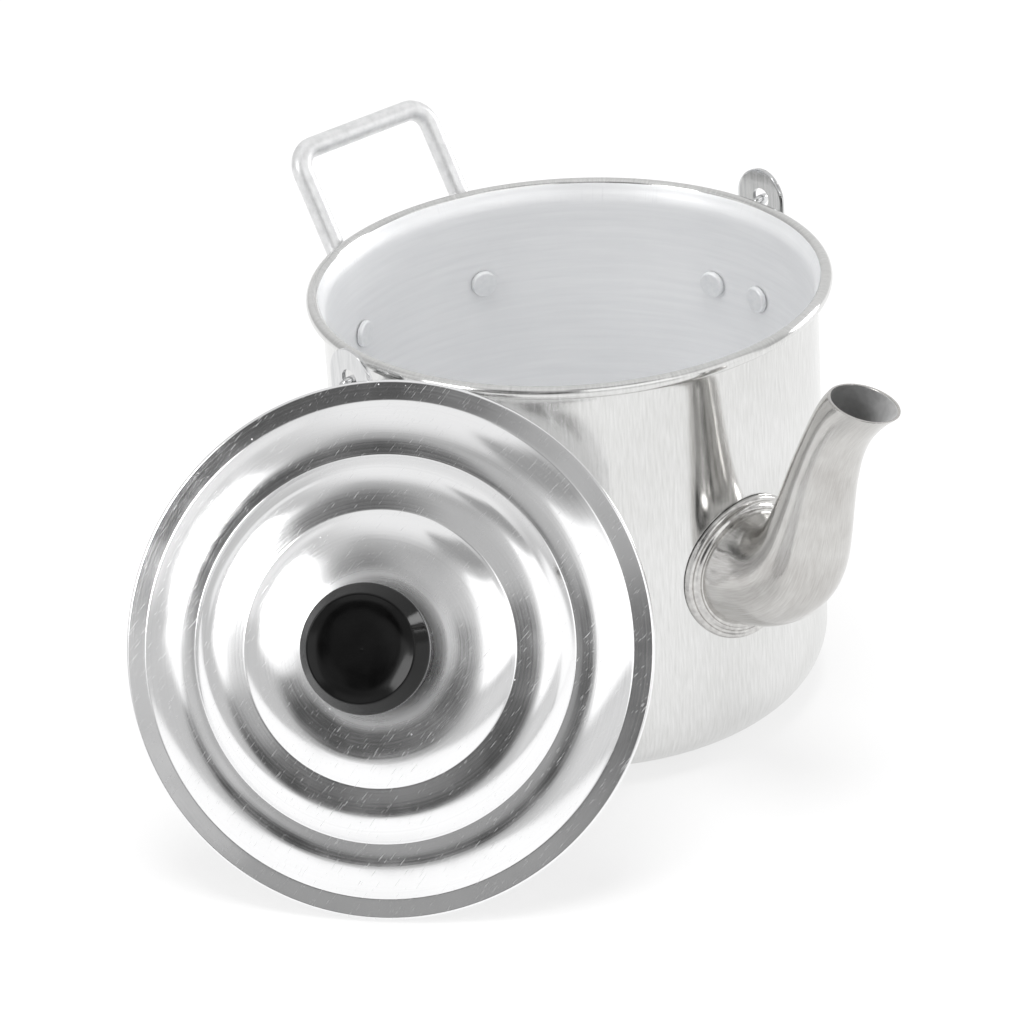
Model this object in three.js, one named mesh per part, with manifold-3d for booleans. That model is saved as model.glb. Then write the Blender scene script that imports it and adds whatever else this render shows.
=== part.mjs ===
// Camping teapot in spun and polished aluminium: a straight-sided pot with a rolled rim, a drawn
// spout with a strainer behind it, a fixed rod handle opposite the spout, a wire bail that hangs in
// two riveted ears, and a stepped lid with a black knob. The lid is off and leans on the pot.
//
// Millimetres, +Z up. The origin is the centre of the pot's flat base. The spout points along +X,
// the rod handle stands on the -X side and the bail's ears are on the +Y (left) and -Y (right) sides.

import * as THREE from 'three';
import { mergeVertices } from 'three/addons/utils/BufferGeometryUtils.js';
import Module from 'manifold-3d';

const wasm = await Module();
wasm.setup();

// Clearances shared by all pieces
const seatGap = 0.3; // between two pieces that touch on the real teapot
const overrun = 6; // how far a cutting tool runs past what it cuts

// Pot body
const wallRadius = 87.65;
const wallThickness = 1.2;
const potHeight = 158.4;
const baseCornerRadius = 22;
const rimRollRadius = 2.3; // the roll of sheet that stiffens the mouth
const rimStandout = 5.35; // how far the roll stands proud of the wall
const rimFlareDrop = 5.6; // height below the roll's centre where the wall starts to flare
const rimRollStart = -110 * THREE.MathUtils.DEG2RAD; // where the flare runs into the roll

// Spout
const spoutAzimuth = -2.8 * THREE.MathUtils.DEG2RAD; // fitted a little off the ears' square
const spoutHeight = 74.5; // centre of the foot above the base
const spoutFootRadius = 21.2;
const spoutReach = 59.8; // foot to centre of the mouth, measured outwards
const spoutRise = 81.8; // foot to centre of the mouth, measured upwards
const spoutWall = 1.0;

// Collar that locks the spout's foot to the wall
const collarWidth = 4.9;
const collarThickness = 2.2;

// Strainer punched in the wall behind the spout
const strainerHoleRadius = 2.5;
const strainerPitch = 8;
const strainerRings = 2;
const strainerFirstRing = 6; // holes in the first ring, and as many more in each ring outside it

// Rivets
const rivetDrop = 35.6; // below the pot's top
const rivetHeight = potHeight - rivetDrop;
const rivetShankRadius = 2.5;
const rivetHoleRadius = 2.85;
const rivetHeadRadius = 4.85;
const rivetHeadThickness = 1.7;
const rivetDomeRadius = 4.4;
const rivetDomeHeight = 2.1;

// Ears that carry the bail
const earSetback = 2; // the ears stand a little behind the pot's middle, towards the handle
const earSetbackAngle = earSetback / wallRadius;
const earThickness = 1.5;
const earTabRadius = 11;
const earStandout = 13.85; // the wall to the middle of the tab's sheet
const earReach = wallRadius + earStandout;
const earHoleDrop = 3.6; // below the pot's top
const earHoleHeight = potHeight - earHoleDrop;
const earHoleRadius = 3.75;
const earPlateHalfWidth = 19;
const earPlateDrop = 9.5; // plate below its rivets, and above them
const earStepRise = 12; // height over which the sheet steps out past the rim
const earRivetAngle = 7.45 * THREE.MathUtils.DEG2RAD;

// Rod handle
const handleRodRadius = 3.75;
const handleTurn = -1.4 * THREE.MathUtils.DEG2RAD; // riveted on a little off the ears' square
const handleRivetAngle = 20 * THREE.MathUtils.DEG2RAD;
const handleRise = 27.6; // the pot's top to the centre of the bar
const handleTop = potHeight + handleRise;
const handleStandout = 23.35; // the wall to the centre of the bar
const handleStandoff = wallRadius + handleStandout;
const handleBendRadius = 8;
const paddleThickness = 3;
const paddleHalfWidth = 7.2;
const paddleDrop = 9; // paddle below its rivet
const paddleRise = 8.5; // paddle above its rivet, where the rod starts to flatten
const paddleBlend = 28; // length over which the round rod flattens

// Bail
const wireRadius = 1.5;
const bailStraight = 23; // straight part of each arm, from the hinge line to the bow
const bailGapOutside = 0.4; // between the ear and the arm
const bailGapInside = 0.9; // between the ear and the turned-back tail
const bailTailLength = 7;

// Lid
const lidInset = 2.1; // the lid's edge inside the rim's
const lidRadius = wallRadius + rimStandout - lidInset;
const lidSheet = 0.9;
const lidEdgeRoll = 1.0;
const lidBandRise = 0.4; // the edge band slopes up a little towards the first crease
const lidStepHeight = 5.0; // rim to first crease
const lidSecondStepHeight = 7.5; // first crease to second crease
const lidCrownHeight = 6.0; // second crease to the flat under the knob
const lidSkirtClearance = 0.65;
const lidSkirtRadius = wallRadius - wallThickness - lidSkirtClearance; // ring inside the pot's mouth
const lidSkirtDepth = 4;
const lidAzimuth = -53.7 * THREE.MathUtils.DEG2RAD; // where the lid faces
const lidElevation = 28.72 * THREE.MathUtils.DEG2RAD; // how far it looks up
const lidSideways = 43.4; // lid centre beside the line that it faces along

// Knob and its fixing
const knobRadius = 21.9;
const knobTopRadius = 17.9;
const knobHeight = 23.7;
const knobStemRadius = 11.5;
const knobEdgeHeight = 2.4; // upright band round the widest part
const knobDish = 1.6;
const screwRadius = 2.4;
const screwHeadRadius = 4.6;
const screwHeadHeight = 2.4;
const screwLength = 12;
const insertRadius = 4.5;
const insertLength = 11;
const washerRadius = 6.5;
const washerThickness = 1.0;

// Facets
const potSegments = 60;
const lidSegments = 60;
const knobSegments = 32;
const smallSegments = 12;
const spoutSides = 24;
const strainerSides = 8;
const collarSides = 32;
const rodSides = 12;
const wireSides = 8;
const earColumns = 6;

// Materials
const satinAluminium = { color: 0xc6c7c8, roughness: 0.38, metalness: 1 };
const mattAluminium = { color: 0xd2d3d3, roughness: 0.5, metalness: 1 };
const polishedAluminium = { color: 0xd9dadb, roughness: 0.14, metalness: 1 };
const steelWire = { color: 0xc9cacb, roughness: 0.18, metalness: 1 };
const blackPlastic = { color: 0x0b0b0b, roughness: 0.12, metalness: 0 };
const brass = { color: 0xb8955a, roughness: 0.35, metalness: 1 };

// A point on an arc in the plane of a profile
function arcPoint(centreX, centreY, radius, angle) {
  return new THREE.Vector2(centreX + radius * Math.cos(angle), centreY + radius * Math.sin(angle));
}

// Points along an arc, both ends included
function arc(centreX, centreY, radius, from, to, steps) {
  const points = [];
  for (let i = 0; i <= steps; i += 1) {
    points.push(arcPoint(centreX, centreY, radius, THREE.MathUtils.lerp(from, to, i / steps)));
  }
  return points;
}

// Six times the signed volume tells which way the faces point
function signedVolume(geometry) {
  const place = geometry.attributes.position;
  const index = geometry.index;
  const a = new THREE.Vector3();
  const b = new THREE.Vector3();
  const c = new THREE.Vector3();
  let sum = 0;
  for (let i = 0; i < index.count; i += 3) {
    a.fromBufferAttribute(place, index.getX(i));
    b.fromBufferAttribute(place, index.getX(i + 1));
    c.fromBufferAttribute(place, index.getX(i + 2));
    sum += a.dot(b.cross(c));
  }
  return sum;
}

// Keep only merged positions, and turn the solid so that its faces point out
function closed(geometry) {
  geometry.deleteAttribute('normal');
  geometry.deleteAttribute('uv');
  const merged = mergeVertices(geometry);
  const kept = [];
  const index = merged.index.array;
  for (let i = 0; i < index.length; i += 3) {
    const [p, q, r] = [index[i], index[i + 1], index[i + 2]];
    if (p !== q && q !== r && r !== p) {
      kept.push(p, q, r);
    }
  }
  merged.setIndex(kept);
  if (signedVolume(merged) < 0) {
    kept.reverse();
    merged.setIndex(kept);
  }
  return merged;
}

// Turn a profile of radius and height about +Z; a profile off the axis closes on itself
function turned(profile, segments) {
  const first = profile[0];
  const last = profile[profile.length - 1];
  const outline = first.x > 0 || last.x > 0 ? [...profile, first.clone()] : profile;
  const geometry = new THREE.LatheGeometry(outline, segments);
  geometry.rotateX(Math.PI / 2);
  return closed(geometry);
}

// Skin a run of equal rings into one solid; a looped run joins its last ring to its first
function skinned(rings, looped) {
  const sides = rings[0].length;
  const vertices = rings.flat().flatMap((point) => [point.x, point.y, point.z]);
  const faces = [];
  const spans = looped ? rings.length : rings.length - 1;
  for (let i = 0; i < spans; i += 1) {
    const here = i * sides;
    const next = ((i + 1) % rings.length) * sides;
    for (let k = 0; k < sides; k += 1) {
      const other = (k + 1) % sides;
      faces.push(here + k, here + other, next + other);
      faces.push(here + k, next + other, next + k);
    }
  }
  if (!looped) {
    const end = (rings.length - 1) * sides;
    for (let k = 0; k < sides / 2 - 1; k += 1) {
      const far = sides - 1 - k;
      faces.push(k, far, k + 1, k + 1, far, far - 1);
      faces.push(end + k, end + k + 1, end + far, end + k + 1, end + far - 1, end + far);
    }
  }
  const geometry = new THREE.BufferGeometry();
  geometry.setAttribute('position', new THREE.Float32BufferAttribute(vertices, 3));
  geometry.setIndex(faces);
  return closed(geometry);
}

// Solids for cutting and joining
function toSolid(geometry) {
  const clean = closed(geometry);
  const mesh = new wasm.Mesh({
    numProp: 3,
    vertProperties: new Float32Array(clean.attributes.position.array),
    triVerts: new Uint32Array(clean.index.array),
  });
  return new wasm.Manifold(mesh);
}

function fromSolid(solid) {
  const mesh = solid.getMesh();
  const geometry = new THREE.BufferGeometry();
  geometry.setAttribute('position', new THREE.BufferAttribute(new Float32Array(mesh.vertProperties), 3));
  geometry.setIndex(new THREE.BufferAttribute(new Uint32Array(mesh.triVerts), 1));
  return geometry;
}

function cut(geometry, tools) {
  let solid = toSolid(geometry);
  for (const tool of tools) {
    solid = solid.subtract(toSolid(tool));
  }
  return fromSolid(solid);
}

// A round punch that points out of the pot at an azimuth, centred on the wall
function radialPunch(radius, azimuth, height, segments, sideways = 0) {
  const punch = new THREE.CylinderGeometry(radius, radius, 2 * (overrun + earReach - wallRadius), segments);
  punch.rotateZ(-Math.PI / 2);
  punch.translate(wallRadius, sideways, height);
  punch.rotateZ(azimuth);
  return punch;
}

// A named piece of the teapot
function piece(name, geometry, finish) {
  const mesh = new THREE.Mesh(geometry, new THREE.MeshStandardMaterial(finish));
  mesh.name = name;
  return mesh;
}

const teapot = new THREE.Group();

// Rivet places round the wall
const leftEarAzimuth = Math.PI / 2;
const rightEarAzimuth = -Math.PI / 2;
const handleAzimuth = Math.PI;
const rimRadius = wallRadius + rimStandout - rimRollRadius; // centre line of the rolled rim
const rimHeight = potHeight - rimRollRadius;
const earRivetPlaces = [];
for (const [side, azimuth] of [['left', leftEarAzimuth], ['right', rightEarAzimuth]]) {
  const setbackAngle = Math.sin(azimuth) * earSetbackAngle;
  for (const [end, sign] of [['front', -1], ['back', 1]]) {
    const turn = Math.sin(azimuth) * sign * earRivetAngle;
    earRivetPlaces.push({ name: `ear_rivet_${side}_${end}`, azimuth: azimuth + setbackAngle + turn });
  }
}
const handleRivetPlaces = [
  { name: 'handle_rivet_left', azimuth: handleAzimuth + handleTurn - handleRivetAngle },
  { name: 'handle_rivet_right', azimuth: handleAzimuth + handleTurn + handleRivetAngle },
];

// Pot body: one spun shell with a flat base, a round corner, a flared mouth and a rolled rim
function potBody() {
  const innerRadius = wallRadius - wallThickness;
  const cornerCentre = wallRadius - baseCornerRadius;
  const flareHeight = rimHeight - rimFlareDrop;
  const profile = [
    new THREE.Vector2(0, 0),
    ...arc(cornerCentre, baseCornerRadius, baseCornerRadius, -Math.PI / 2, 0, 5),
    new THREE.Vector2(wallRadius, flareHeight),
    ...arc(rimRadius, rimHeight, rimRollRadius, rimRollStart, Math.PI, 7),
    new THREE.Vector2(innerRadius, flareHeight),
    ...arc(cornerCentre, baseCornerRadius, baseCornerRadius - wallThickness, 0, -Math.PI / 2, 4),
    new THREE.Vector2(0, wallThickness),
  ];
  const punches = [...earRivetPlaces, ...handleRivetPlaces].map(
    (place) => radialPunch(rivetHoleRadius, place.azimuth, rivetHeight, smallSegments)
  );
  return cut(turned(profile, potSegments), [...punches, ...strainerPunches()]);
}

// Strainer: rings of round holes about one in the middle, each ring one pitch wider
function strainerPunches() {
  const punches = [radialPunch(strainerHoleRadius, spoutAzimuth, spoutHeight, strainerSides)];
  for (let ring = 1; ring <= strainerRings; ring += 1) {
    const count = strainerFirstRing * ring;
    for (let i = 0; i < count; i += 1) {
      const angle = (2 * Math.PI * i) / count;
      const across = ring * strainerPitch * Math.cos(angle);
      const height = spoutHeight + ring * strainerPitch * Math.sin(angle);
      punches.push(radialPunch(strainerHoleRadius, spoutAzimuth, height, strainerSides, across));
    }
  }
  return punches;
}

teapot.add(piece('pot_body', potBody(), satinAluminium));

// A ring round the spout's foot that lies on the round wall, a height above it
function wallRing(radius, height, sides) {
  const ring = [];
  const outer = wallRadius + seatGap + height;
  for (let k = 0; k < sides; k += 1) {
    const angle = (2 * Math.PI * k) / sides;
    const across = radius * Math.cos(angle);
    ring.push(new THREE.Vector3(
      Math.sqrt(outer * outer - across * across), across, spoutHeight + radius * Math.sin(angle)
    ));
  }
  return ring;
}

// Spout sections as shares: outwards and upwards of the reach and rise, the turn from level in
// right angles, and half the depth and half the breadth of the foot's radius
const spoutSectionShares = [
  { out: 0.037, up: 0.0, turn: 0.0, deep: 0.965, broad: 0.97 },
  { out: 0.114, up: 0.007, turn: 0.06, deep: 0.915, broad: 0.92 },
  { out: 0.21, up: 0.023, turn: 0.17, deep: 0.88, broad: 0.88 },
  { out: 0.312, up: 0.062, turn: 0.34, deep: 0.84, broad: 0.85 },
  { out: 0.408, up: 0.126, turn: 0.53, deep: 0.795, broad: 0.81 },
  { out: 0.484, up: 0.215, turn: 0.68, deep: 0.74, broad: 0.755 },
  { out: 0.543, up: 0.328, turn: 0.77, deep: 0.675, broad: 0.69 },
  { out: 0.601, up: 0.465, turn: 0.8, deep: 0.61, broad: 0.62 },
  { out: 0.665, up: 0.61, turn: 0.78, deep: 0.55, broad: 0.56 },
  { out: 0.745, up: 0.752, turn: 0.74, deep: 0.51, broad: 0.51 },
  { out: 0.827, up: 0.862, turn: 0.76, deep: 0.52, broad: 0.48 },
  { out: 0.917, up: 0.945, turn: 0.84, deep: 0.58, broad: 0.465 },
  { out: 1.0, up: 1.0, turn: 0.905, deep: 0.65, broad: 0.48 },
];

// One oval section of the spout, shrunk by the sheet's thickness for the inside
function spoutSection(share, shrink, sides) {
  const turn = (share.turn * Math.PI) / 2;
  const deep = share.deep * spoutFootRadius - shrink;
  const broad = share.broad * spoutFootRadius - shrink;
  const ring = [];
  for (let k = 0; k < sides; k += 1) {
    const angle = (2 * Math.PI * k) / sides;
    const rise = deep * Math.sin(angle);
    ring.push(new THREE.Vector3(
      wallRadius + share.out * spoutReach - rise * Math.sin(turn),
      broad * Math.cos(angle),
      spoutHeight + share.up * spoutRise + rise * Math.cos(turn)
    ));
  }
  return ring;
}

// Spout: a drawn tube whose foot lies on the wall and whose mouth flares to a thin pouring lip
function spout() {
  const outside = spoutSectionShares.map((share) => spoutSection(share, 0, spoutSides));
  const inside = spoutSectionShares.map((share) => spoutSection(share, spoutWall, spoutSides));
  const tube = skinned([
    wallRing(spoutFootRadius, 0, spoutSides),
    wallRing(spoutFootRadius, spoutWall, spoutSides),
    ...outside,
    ...inside.reverse(),
    wallRing(spoutFootRadius - 2 * spoutWall, 0, spoutSides),
  ], true);
  return tube.rotateZ(spoutAzimuth);
}

// Collar: a pressed ring with two ridges, curved to the wall, that clamps the spout's foot
function spoutCollar() {
  const innerRadius = spoutFootRadius + seatGap;
  const ridgeShares = [
    { out: 0, high: 0 }, { out: 0, high: 0.85 }, { out: 0.14, high: 1 }, { out: 0.3, high: 0.9 },
    { out: 0.4, high: 0.6 }, { out: 0.55, high: 0.58 }, { out: 0.68, high: 0.8 },
    { out: 0.84, high: 0.74 }, { out: 0.97, high: 0.4 }, { out: 1, high: 0 },
  ];
  const rings = ridgeShares.map(
    (share) => wallRing(innerRadius + share.out * collarWidth, share.high * collarThickness, collarSides)
  );
  return skinned(rings, true).rotateZ(spoutAzimuth);
}

teapot.add(piece('spout', spout(), satinAluminium));
teapot.add(piece('spout_collar', spoutCollar(), satinAluminium));

// Ear: a stamped plate that follows the wall, steps out past the rim and ends in a round tab
const earInnerRadius = wallRadius + seatGap;
const earTabInner = earReach - earThickness / 2;
const earStepFoot = rivetHeight + earPlateDrop;
const earStepTop = earStepFoot + earStepRise;
const earCorner = earPlateDrop / 3;
const earCornerShares = [0, 0.35, 1];
const earStepShares = [0, 0.25, 0.5, 0.75, 1];
const earTabShares = [0, 0.2, 0.4, 0.6, 0.78, 0.93];
const earLevels = [
  ...earCornerShares.map((share) => ({
    height: rivetHeight - earPlateDrop + share * earCorner,
    half: earPlateHalfWidth - earCorner * (1 - Math.sqrt(1 - (1 - share) * (1 - share))),
  })),
  ...earStepShares.map((share) => ({
    height: THREE.MathUtils.lerp(earStepFoot, earStepTop, share),
    half: THREE.MathUtils.lerp(earPlateHalfWidth, earTabRadius, THREE.MathUtils.smoothstep(share, 0, 1)),
  })),
  ...earTabShares.map((share) => ({
    height: earHoleHeight + earTabRadius * Math.sin((share * Math.PI) / 2),
    half: earTabRadius * Math.cos((share * Math.PI) / 2),
  })),
];

function earGeometry(azimuth) {
  const rings = earLevels.map(({ height, half }) => {
    const step = THREE.MathUtils.smoothstep(height, earStepFoot, earStepTop);
    const inner = THREE.MathUtils.lerp(earInnerRadius, earTabInner, step);
    const outerRow = [];
    const innerRow = [];
    for (let i = 0; i <= earColumns; i += 1) {
      const across = half * ((2 * i) / earColumns - 1);
      for (const [row, radius] of [[outerRow, inner + earThickness], [innerRow, inner]]) {
        row.push(new THREE.Vector3(Math.sqrt(radius * radius - across * across), across, height));
      }
    }
    return [...outerRow, ...innerRow.reverse()];
  });
  const blank = skinned(rings, false);
  const holes = [-earRivetAngle, earRivetAngle].map(
    (angle) => radialPunch(rivetHoleRadius, angle, rivetHeight, smallSegments)
  );
  const eye = radialPunch(earHoleRadius, 0, earHoleHeight, smallSegments);
  const ear = cut(blank, [...holes, eye]);
  ear.rotateZ(azimuth + Math.sin(azimuth) * earSetbackAngle);
  return ear;
}

teapot.add(piece('ear_left', earGeometry(leftEarAzimuth), polishedAluminium));
teapot.add(piece('ear_right', earGeometry(rightEarAzimuth), polishedAluminium));

// Rivet: a flat head inside the pot, a shank, and a dome closed over the plate outside
function rivet(plateOuterRadius) {
  const headBack = wallRadius - wallThickness - 2 * seatGap;
  const chamfer = rivetHeadThickness / 4;
  const domeFoot = plateOuterRadius + seatGap;
  const profile = [
    new THREE.Vector2(0, headBack - rivetHeadThickness),
    new THREE.Vector2(rivetHeadRadius - chamfer, headBack - rivetHeadThickness),
    new THREE.Vector2(rivetHeadRadius, headBack - rivetHeadThickness + chamfer),
    new THREE.Vector2(rivetHeadRadius, headBack),
    new THREE.Vector2(rivetShankRadius, headBack),
    new THREE.Vector2(rivetShankRadius, domeFoot),
    new THREE.Vector2(rivetDomeRadius, domeFoot),
    new THREE.Vector2(rivetDomeRadius, domeFoot + rivetDomeHeight / 3),
    new THREE.Vector2(rivetDomeRadius * Math.SQRT1_2, domeFoot + (rivetDomeHeight * 5) / 6),
    new THREE.Vector2(0, domeFoot + rivetDomeHeight),
  ];
  return turned(profile, smallSegments);
}

// A rivet stands on the pot's axis and is laid over to point out through the wall
function placedRivet(name, azimuth, plateOuterRadius) {
  const mesh = piece(name, rivet(plateOuterRadius), mattAluminium);
  const outwards = new THREE.Vector3(Math.cos(azimuth), Math.sin(azimuth), 0);
  mesh.quaternion.setFromUnitVectors(new THREE.Vector3(0, 0, 1), outwards);
  mesh.position.set(0, 0, rivetHeight);
  return mesh;
}

const earOuterRadius = earInnerRadius + earThickness;
const paddleOuterRadius = wallRadius + seatGap + paddleThickness;
for (const place of earRivetPlaces) {
  teapot.add(placedRivet(place.name, place.azimuth, earOuterRadius));
}
for (const place of handleRivetPlaces) {
  teapot.add(placedRivet(place.name, place.azimuth, paddleOuterRadius));
}

// Side handle: one round rod, bent to a square bow, its ends hammered flat and riveted on
const legKinkShare = 1 / 3; // where the leg leans out, along the length over which it flattens
const paddleEndShares = [0.08, 0.3, 0.6, 1];
const paddleBlendShares = [0.15, 0.33, 0.6, 0.8, 1];
const paddleCornerShare = 0.45; // 1 is an oval section, 0 a sharp-edged bar

function sideHandle() {
  const azimuth = handleAzimuth - handleRivetAngle;
  const outwards = new THREE.Vector3(Math.cos(azimuth), Math.sin(azimuth), 0);
  const paddleMiddle = wallRadius + seatGap + paddleThickness / 2;
  const foot = outwards.clone().multiplyScalar(paddleMiddle);
  const flatTop = rivetHeight + paddleRise;
  const kink = new THREE.Vector3(foot.x, foot.y, flatTop + legKinkShare * paddleBlend);
  const corner = new THREE.Vector3(-handleStandoff, foot.y, handleTop);
  const legWay = corner.clone().sub(kink).normalize();
  const barWay = new THREE.Vector3(0, -1, 0);

  const stations = [];
  const addStation = (point, way, flat, half = paddleHalfWidth) => {
    stations.push({ point, way, flat, half });
  };
  const up = new THREE.Vector3(0, 0, 1);
  const paddleEnd = rivetHeight - paddleDrop;
  for (const share of paddleEndShares) {
    const height = paddleEnd + paddleHalfWidth * share;
    const half = paddleHalfWidth * Math.sqrt(1 - (1 - share) * (1 - share));
    addStation(new THREE.Vector3(foot.x, foot.y, height), up, 1, half);
  }
  addStation(new THREE.Vector3(foot.x, foot.y, flatTop), up, 1);
  for (const share of paddleBlendShares) {
    const way = up.clone().lerp(legWay, share).normalize();
    const point = kink.clone().addScaledVector(legWay, (share - legKinkShare) * paddleBlend);
    if (share < legKinkShare) {
      point.set(foot.x, foot.y, flatTop + share * paddleBlend);
    }
    addStation(point, way, 1 - THREE.MathUtils.smoothstep(share, legKinkShare, 1));
  }
  const bendStart = corner.clone().addScaledVector(legWay, -handleBendRadius);
  const bendCentre = bendStart.clone().addScaledVector(barWay, handleBendRadius);
  const bendSteps = 6;
  for (let i = 0; i <= bendSteps; i += 1) {
    const angle = ((Math.PI / 2) * i) / bendSteps;
    const point = bendCentre.clone()
      .addScaledVector(barWay, -handleBendRadius * Math.cos(angle))
      .addScaledVector(legWay, handleBendRadius * Math.sin(angle));
    const way = legWay.clone().multiplyScalar(Math.cos(angle)).addScaledVector(barWay, Math.sin(angle));
    addStation(point, way, 0);
  }
  addStation(new THREE.Vector3(corner.x, 0, corner.z), barWay, 0);

  const half = stations.map(({ point, way, flat, half: breadth }) => {
    const side = new THREE.Vector3().crossVectors(outwards, way).normalize();
    const thick = new THREE.Vector3().crossVectors(way, side).normalize();
    const wide = THREE.MathUtils.lerp(handleRodRadius, breadth, flat);
    const thin = THREE.MathUtils.lerp(handleRodRadius, paddleThickness / 2, flat);
    const ring = [];
    for (let k = 0; k < rodSides; k += 1) {
      const angle = (2 * Math.PI * (k + 0.5)) / rodSides;
      const fullness = THREE.MathUtils.lerp(1, paddleCornerShare, flat);
      const across = Math.sign(Math.cos(angle)) * Math.abs(Math.cos(angle)) ** fullness;
      const through = Math.sign(Math.sin(angle)) * Math.abs(Math.sin(angle)) ** fullness;
      ring.push(point.clone().addScaledVector(side, wide * across).addScaledVector(thick, thin * through));
    }
    return ring;
  });
  const mirrored = half.slice(0, -1).reverse().map(
    (ring) => ring.map((point) => new THREE.Vector3(point.x, -point.y, point.z))
  );
  const punches = handleRivetPlaces.map(
    (place) => radialPunch(rivetHoleRadius, place.azimuth, rivetHeight, smallSegments)
  );
  return cut(skinned([...half, ...mirrored], false).rotateZ(handleTurn), punches);
}

teapot.add(piece('side_handle', sideHandle(), mattAluminium));

// Bail: one steel wire bent to a bow, each end passed through an ear and turned back inside it
const armReach = earReach + earThickness / 2 + bailGapOutside + wireRadius; // pot axis to an arm
const tailReach = earReach - earThickness / 2 - bailGapInside - wireRadius; // pot axis to a tail
const bailLength = bailStraight + armReach; // hinge line to the middle of the bow
const bailHang = Math.acos((wallRadius + seatGap + wireRadius - earSetback) / bailLength);

function bailWire() {
  const hookRadius = (armReach - tailReach) / 2;
  const hookMiddle = (armReach + tailReach) / 2;
  // The bow lies in one plane: along is the way it hangs, across is the pot's Y
  const line = [];
  line.push({ along: hookRadius + bailTailLength, across: tailReach, turn: -Math.PI / 2 });
  const hookSteps = 8;
  for (let i = 0; i <= hookSteps; i += 1) {
    const angle = -Math.PI / 2 + (Math.PI * i) / hookSteps;
    line.push({
      along: hookRadius - hookRadius * Math.cos(angle),
      across: hookMiddle + hookRadius * Math.sin(angle),
      turn: angle,
    });
  }
  const bowSteps = 36;
  for (let i = 0; i <= bowSteps / 2; i += 1) {
    const angle = Math.PI / 2 - (Math.PI * i) / bowSteps;
    line.push({
      along: bailStraight + armReach * Math.cos(angle),
      across: armReach * Math.sin(angle),
      turn: Math.PI - angle,
    });
  }
  const hangWay = new THREE.Vector3(-Math.cos(bailHang), 0, -Math.sin(bailHang));
  const acrossWay = new THREE.Vector3(0, 1, 0);
  const planeWay = new THREE.Vector3().crossVectors(hangWay, acrossWay);
  const half = line.map(({ along, across, turn }) => {
    const middle = new THREE.Vector3(-earSetback, 0, earHoleHeight)
      .addScaledVector(hangWay, along)
      .addScaledVector(acrossWay, across);
    const outWay = hangWay.clone().multiplyScalar(-Math.cos(turn)).addScaledVector(acrossWay, Math.sin(turn));
    const ring = [];
    for (let k = 0; k < wireSides; k += 1) {
      const angle = (2 * Math.PI * (k + 0.5)) / wireSides;
      ring.push(middle.clone()
        .addScaledVector(outWay, wireRadius * Math.cos(angle))
        .addScaledVector(planeWay, wireRadius * Math.sin(angle)));
    }
    return ring;
  });
  const mirrored = half.slice(0, -1).reverse().map(
    (ring) => ring.map((point) => new THREE.Vector3(point.x, -point.y, point.z))
  );
  return skinned([...half, ...mirrored], false);
}

teapot.add(piece('bail_wire', bailWire(), steelWire));

// Lid: three convex steps spun in one sheet, with a rolled edge and a folded locating ring below
const lidBandInnerShare = 0.927;
const lidSteps = [
  { footShare: lidBandInnerShare, creaseShare: 0.739, evenShare: 0.2, bend: 2.1, rise: lidStepHeight },
  { footShare: 0.739, creaseShare: 0.52, evenShare: 0.15, bend: 2.5, rise: lidSecondStepHeight },
  { footShare: 0.52, creaseShare: 0.26, evenShare: 0.45, bend: 3.6, rise: lidCrownHeight },
];
const knobSeatHeight = lidEdgeRoll + lidBandRise + lidStepHeight + lidSecondStepHeight + lidCrownHeight;

// The outside of the lid from its edge band to the screw hole, as radius and height: each step
// rises steeply from its crease and eases inwards, with part of its rise spread evenly
const lidWayShares = [0, 0.14, 0.34, 0.62, 1];
function lidFace() {
  const face = [];
  let height = lidEdgeRoll + lidBandRise;
  for (const step of lidSteps) {
    const foot = step.footShare * lidRadius;
    const crease = step.creaseShare * lidRadius;
    for (const wayShare of lidWayShares) {
      const curved = 1 - (1 - wayShare) ** step.bend;
      const climb = step.rise * THREE.MathUtils.lerp(curved, wayShare, step.evenShare);
      face.push(new THREE.Vector2(THREE.MathUtils.lerp(foot, crease, wayShare), height + climb));
    }
    height += step.rise;
    if (step !== lidSteps.at(-1)) {
      face.pop();
    }
  }
  return face;
}

function lidShell() {
  const holeRadius = screwRadius + seatGap;
  const face = lidFace();
  const back = face.map((point) => new THREE.Vector2(point.x - lidSheet / 2, point.y - lidSheet)).reverse();
  const skirtInner = lidSkirtRadius - 2 * lidSheet;
  const edgeCentre = lidRadius - lidEdgeRoll;
  const profile = [
    ...face,
    new THREE.Vector2(holeRadius, knobSeatHeight),
    new THREE.Vector2(holeRadius, knobSeatHeight - lidSheet),
    ...back.filter((point) => point.x < skirtInner - lidSheet),
    new THREE.Vector2(skirtInner - lidSheet / 2, lidEdgeRoll - lidSheet + lidBandRise + lidStepHeight / 8),
    new THREE.Vector2(skirtInner, lidEdgeRoll - lidSkirtDepth),
    new THREE.Vector2(lidSkirtRadius, lidEdgeRoll - lidSkirtDepth),
    new THREE.Vector2(lidSkirtRadius, lidEdgeRoll - lidSheet),
    ...arc(edgeCentre, 0, lidEdgeRoll, (Math.PI * 5) / 6, (Math.PI * 5) / 2, 6).slice(1),
  ];
  return turned(profile, lidSegments);
}

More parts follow.
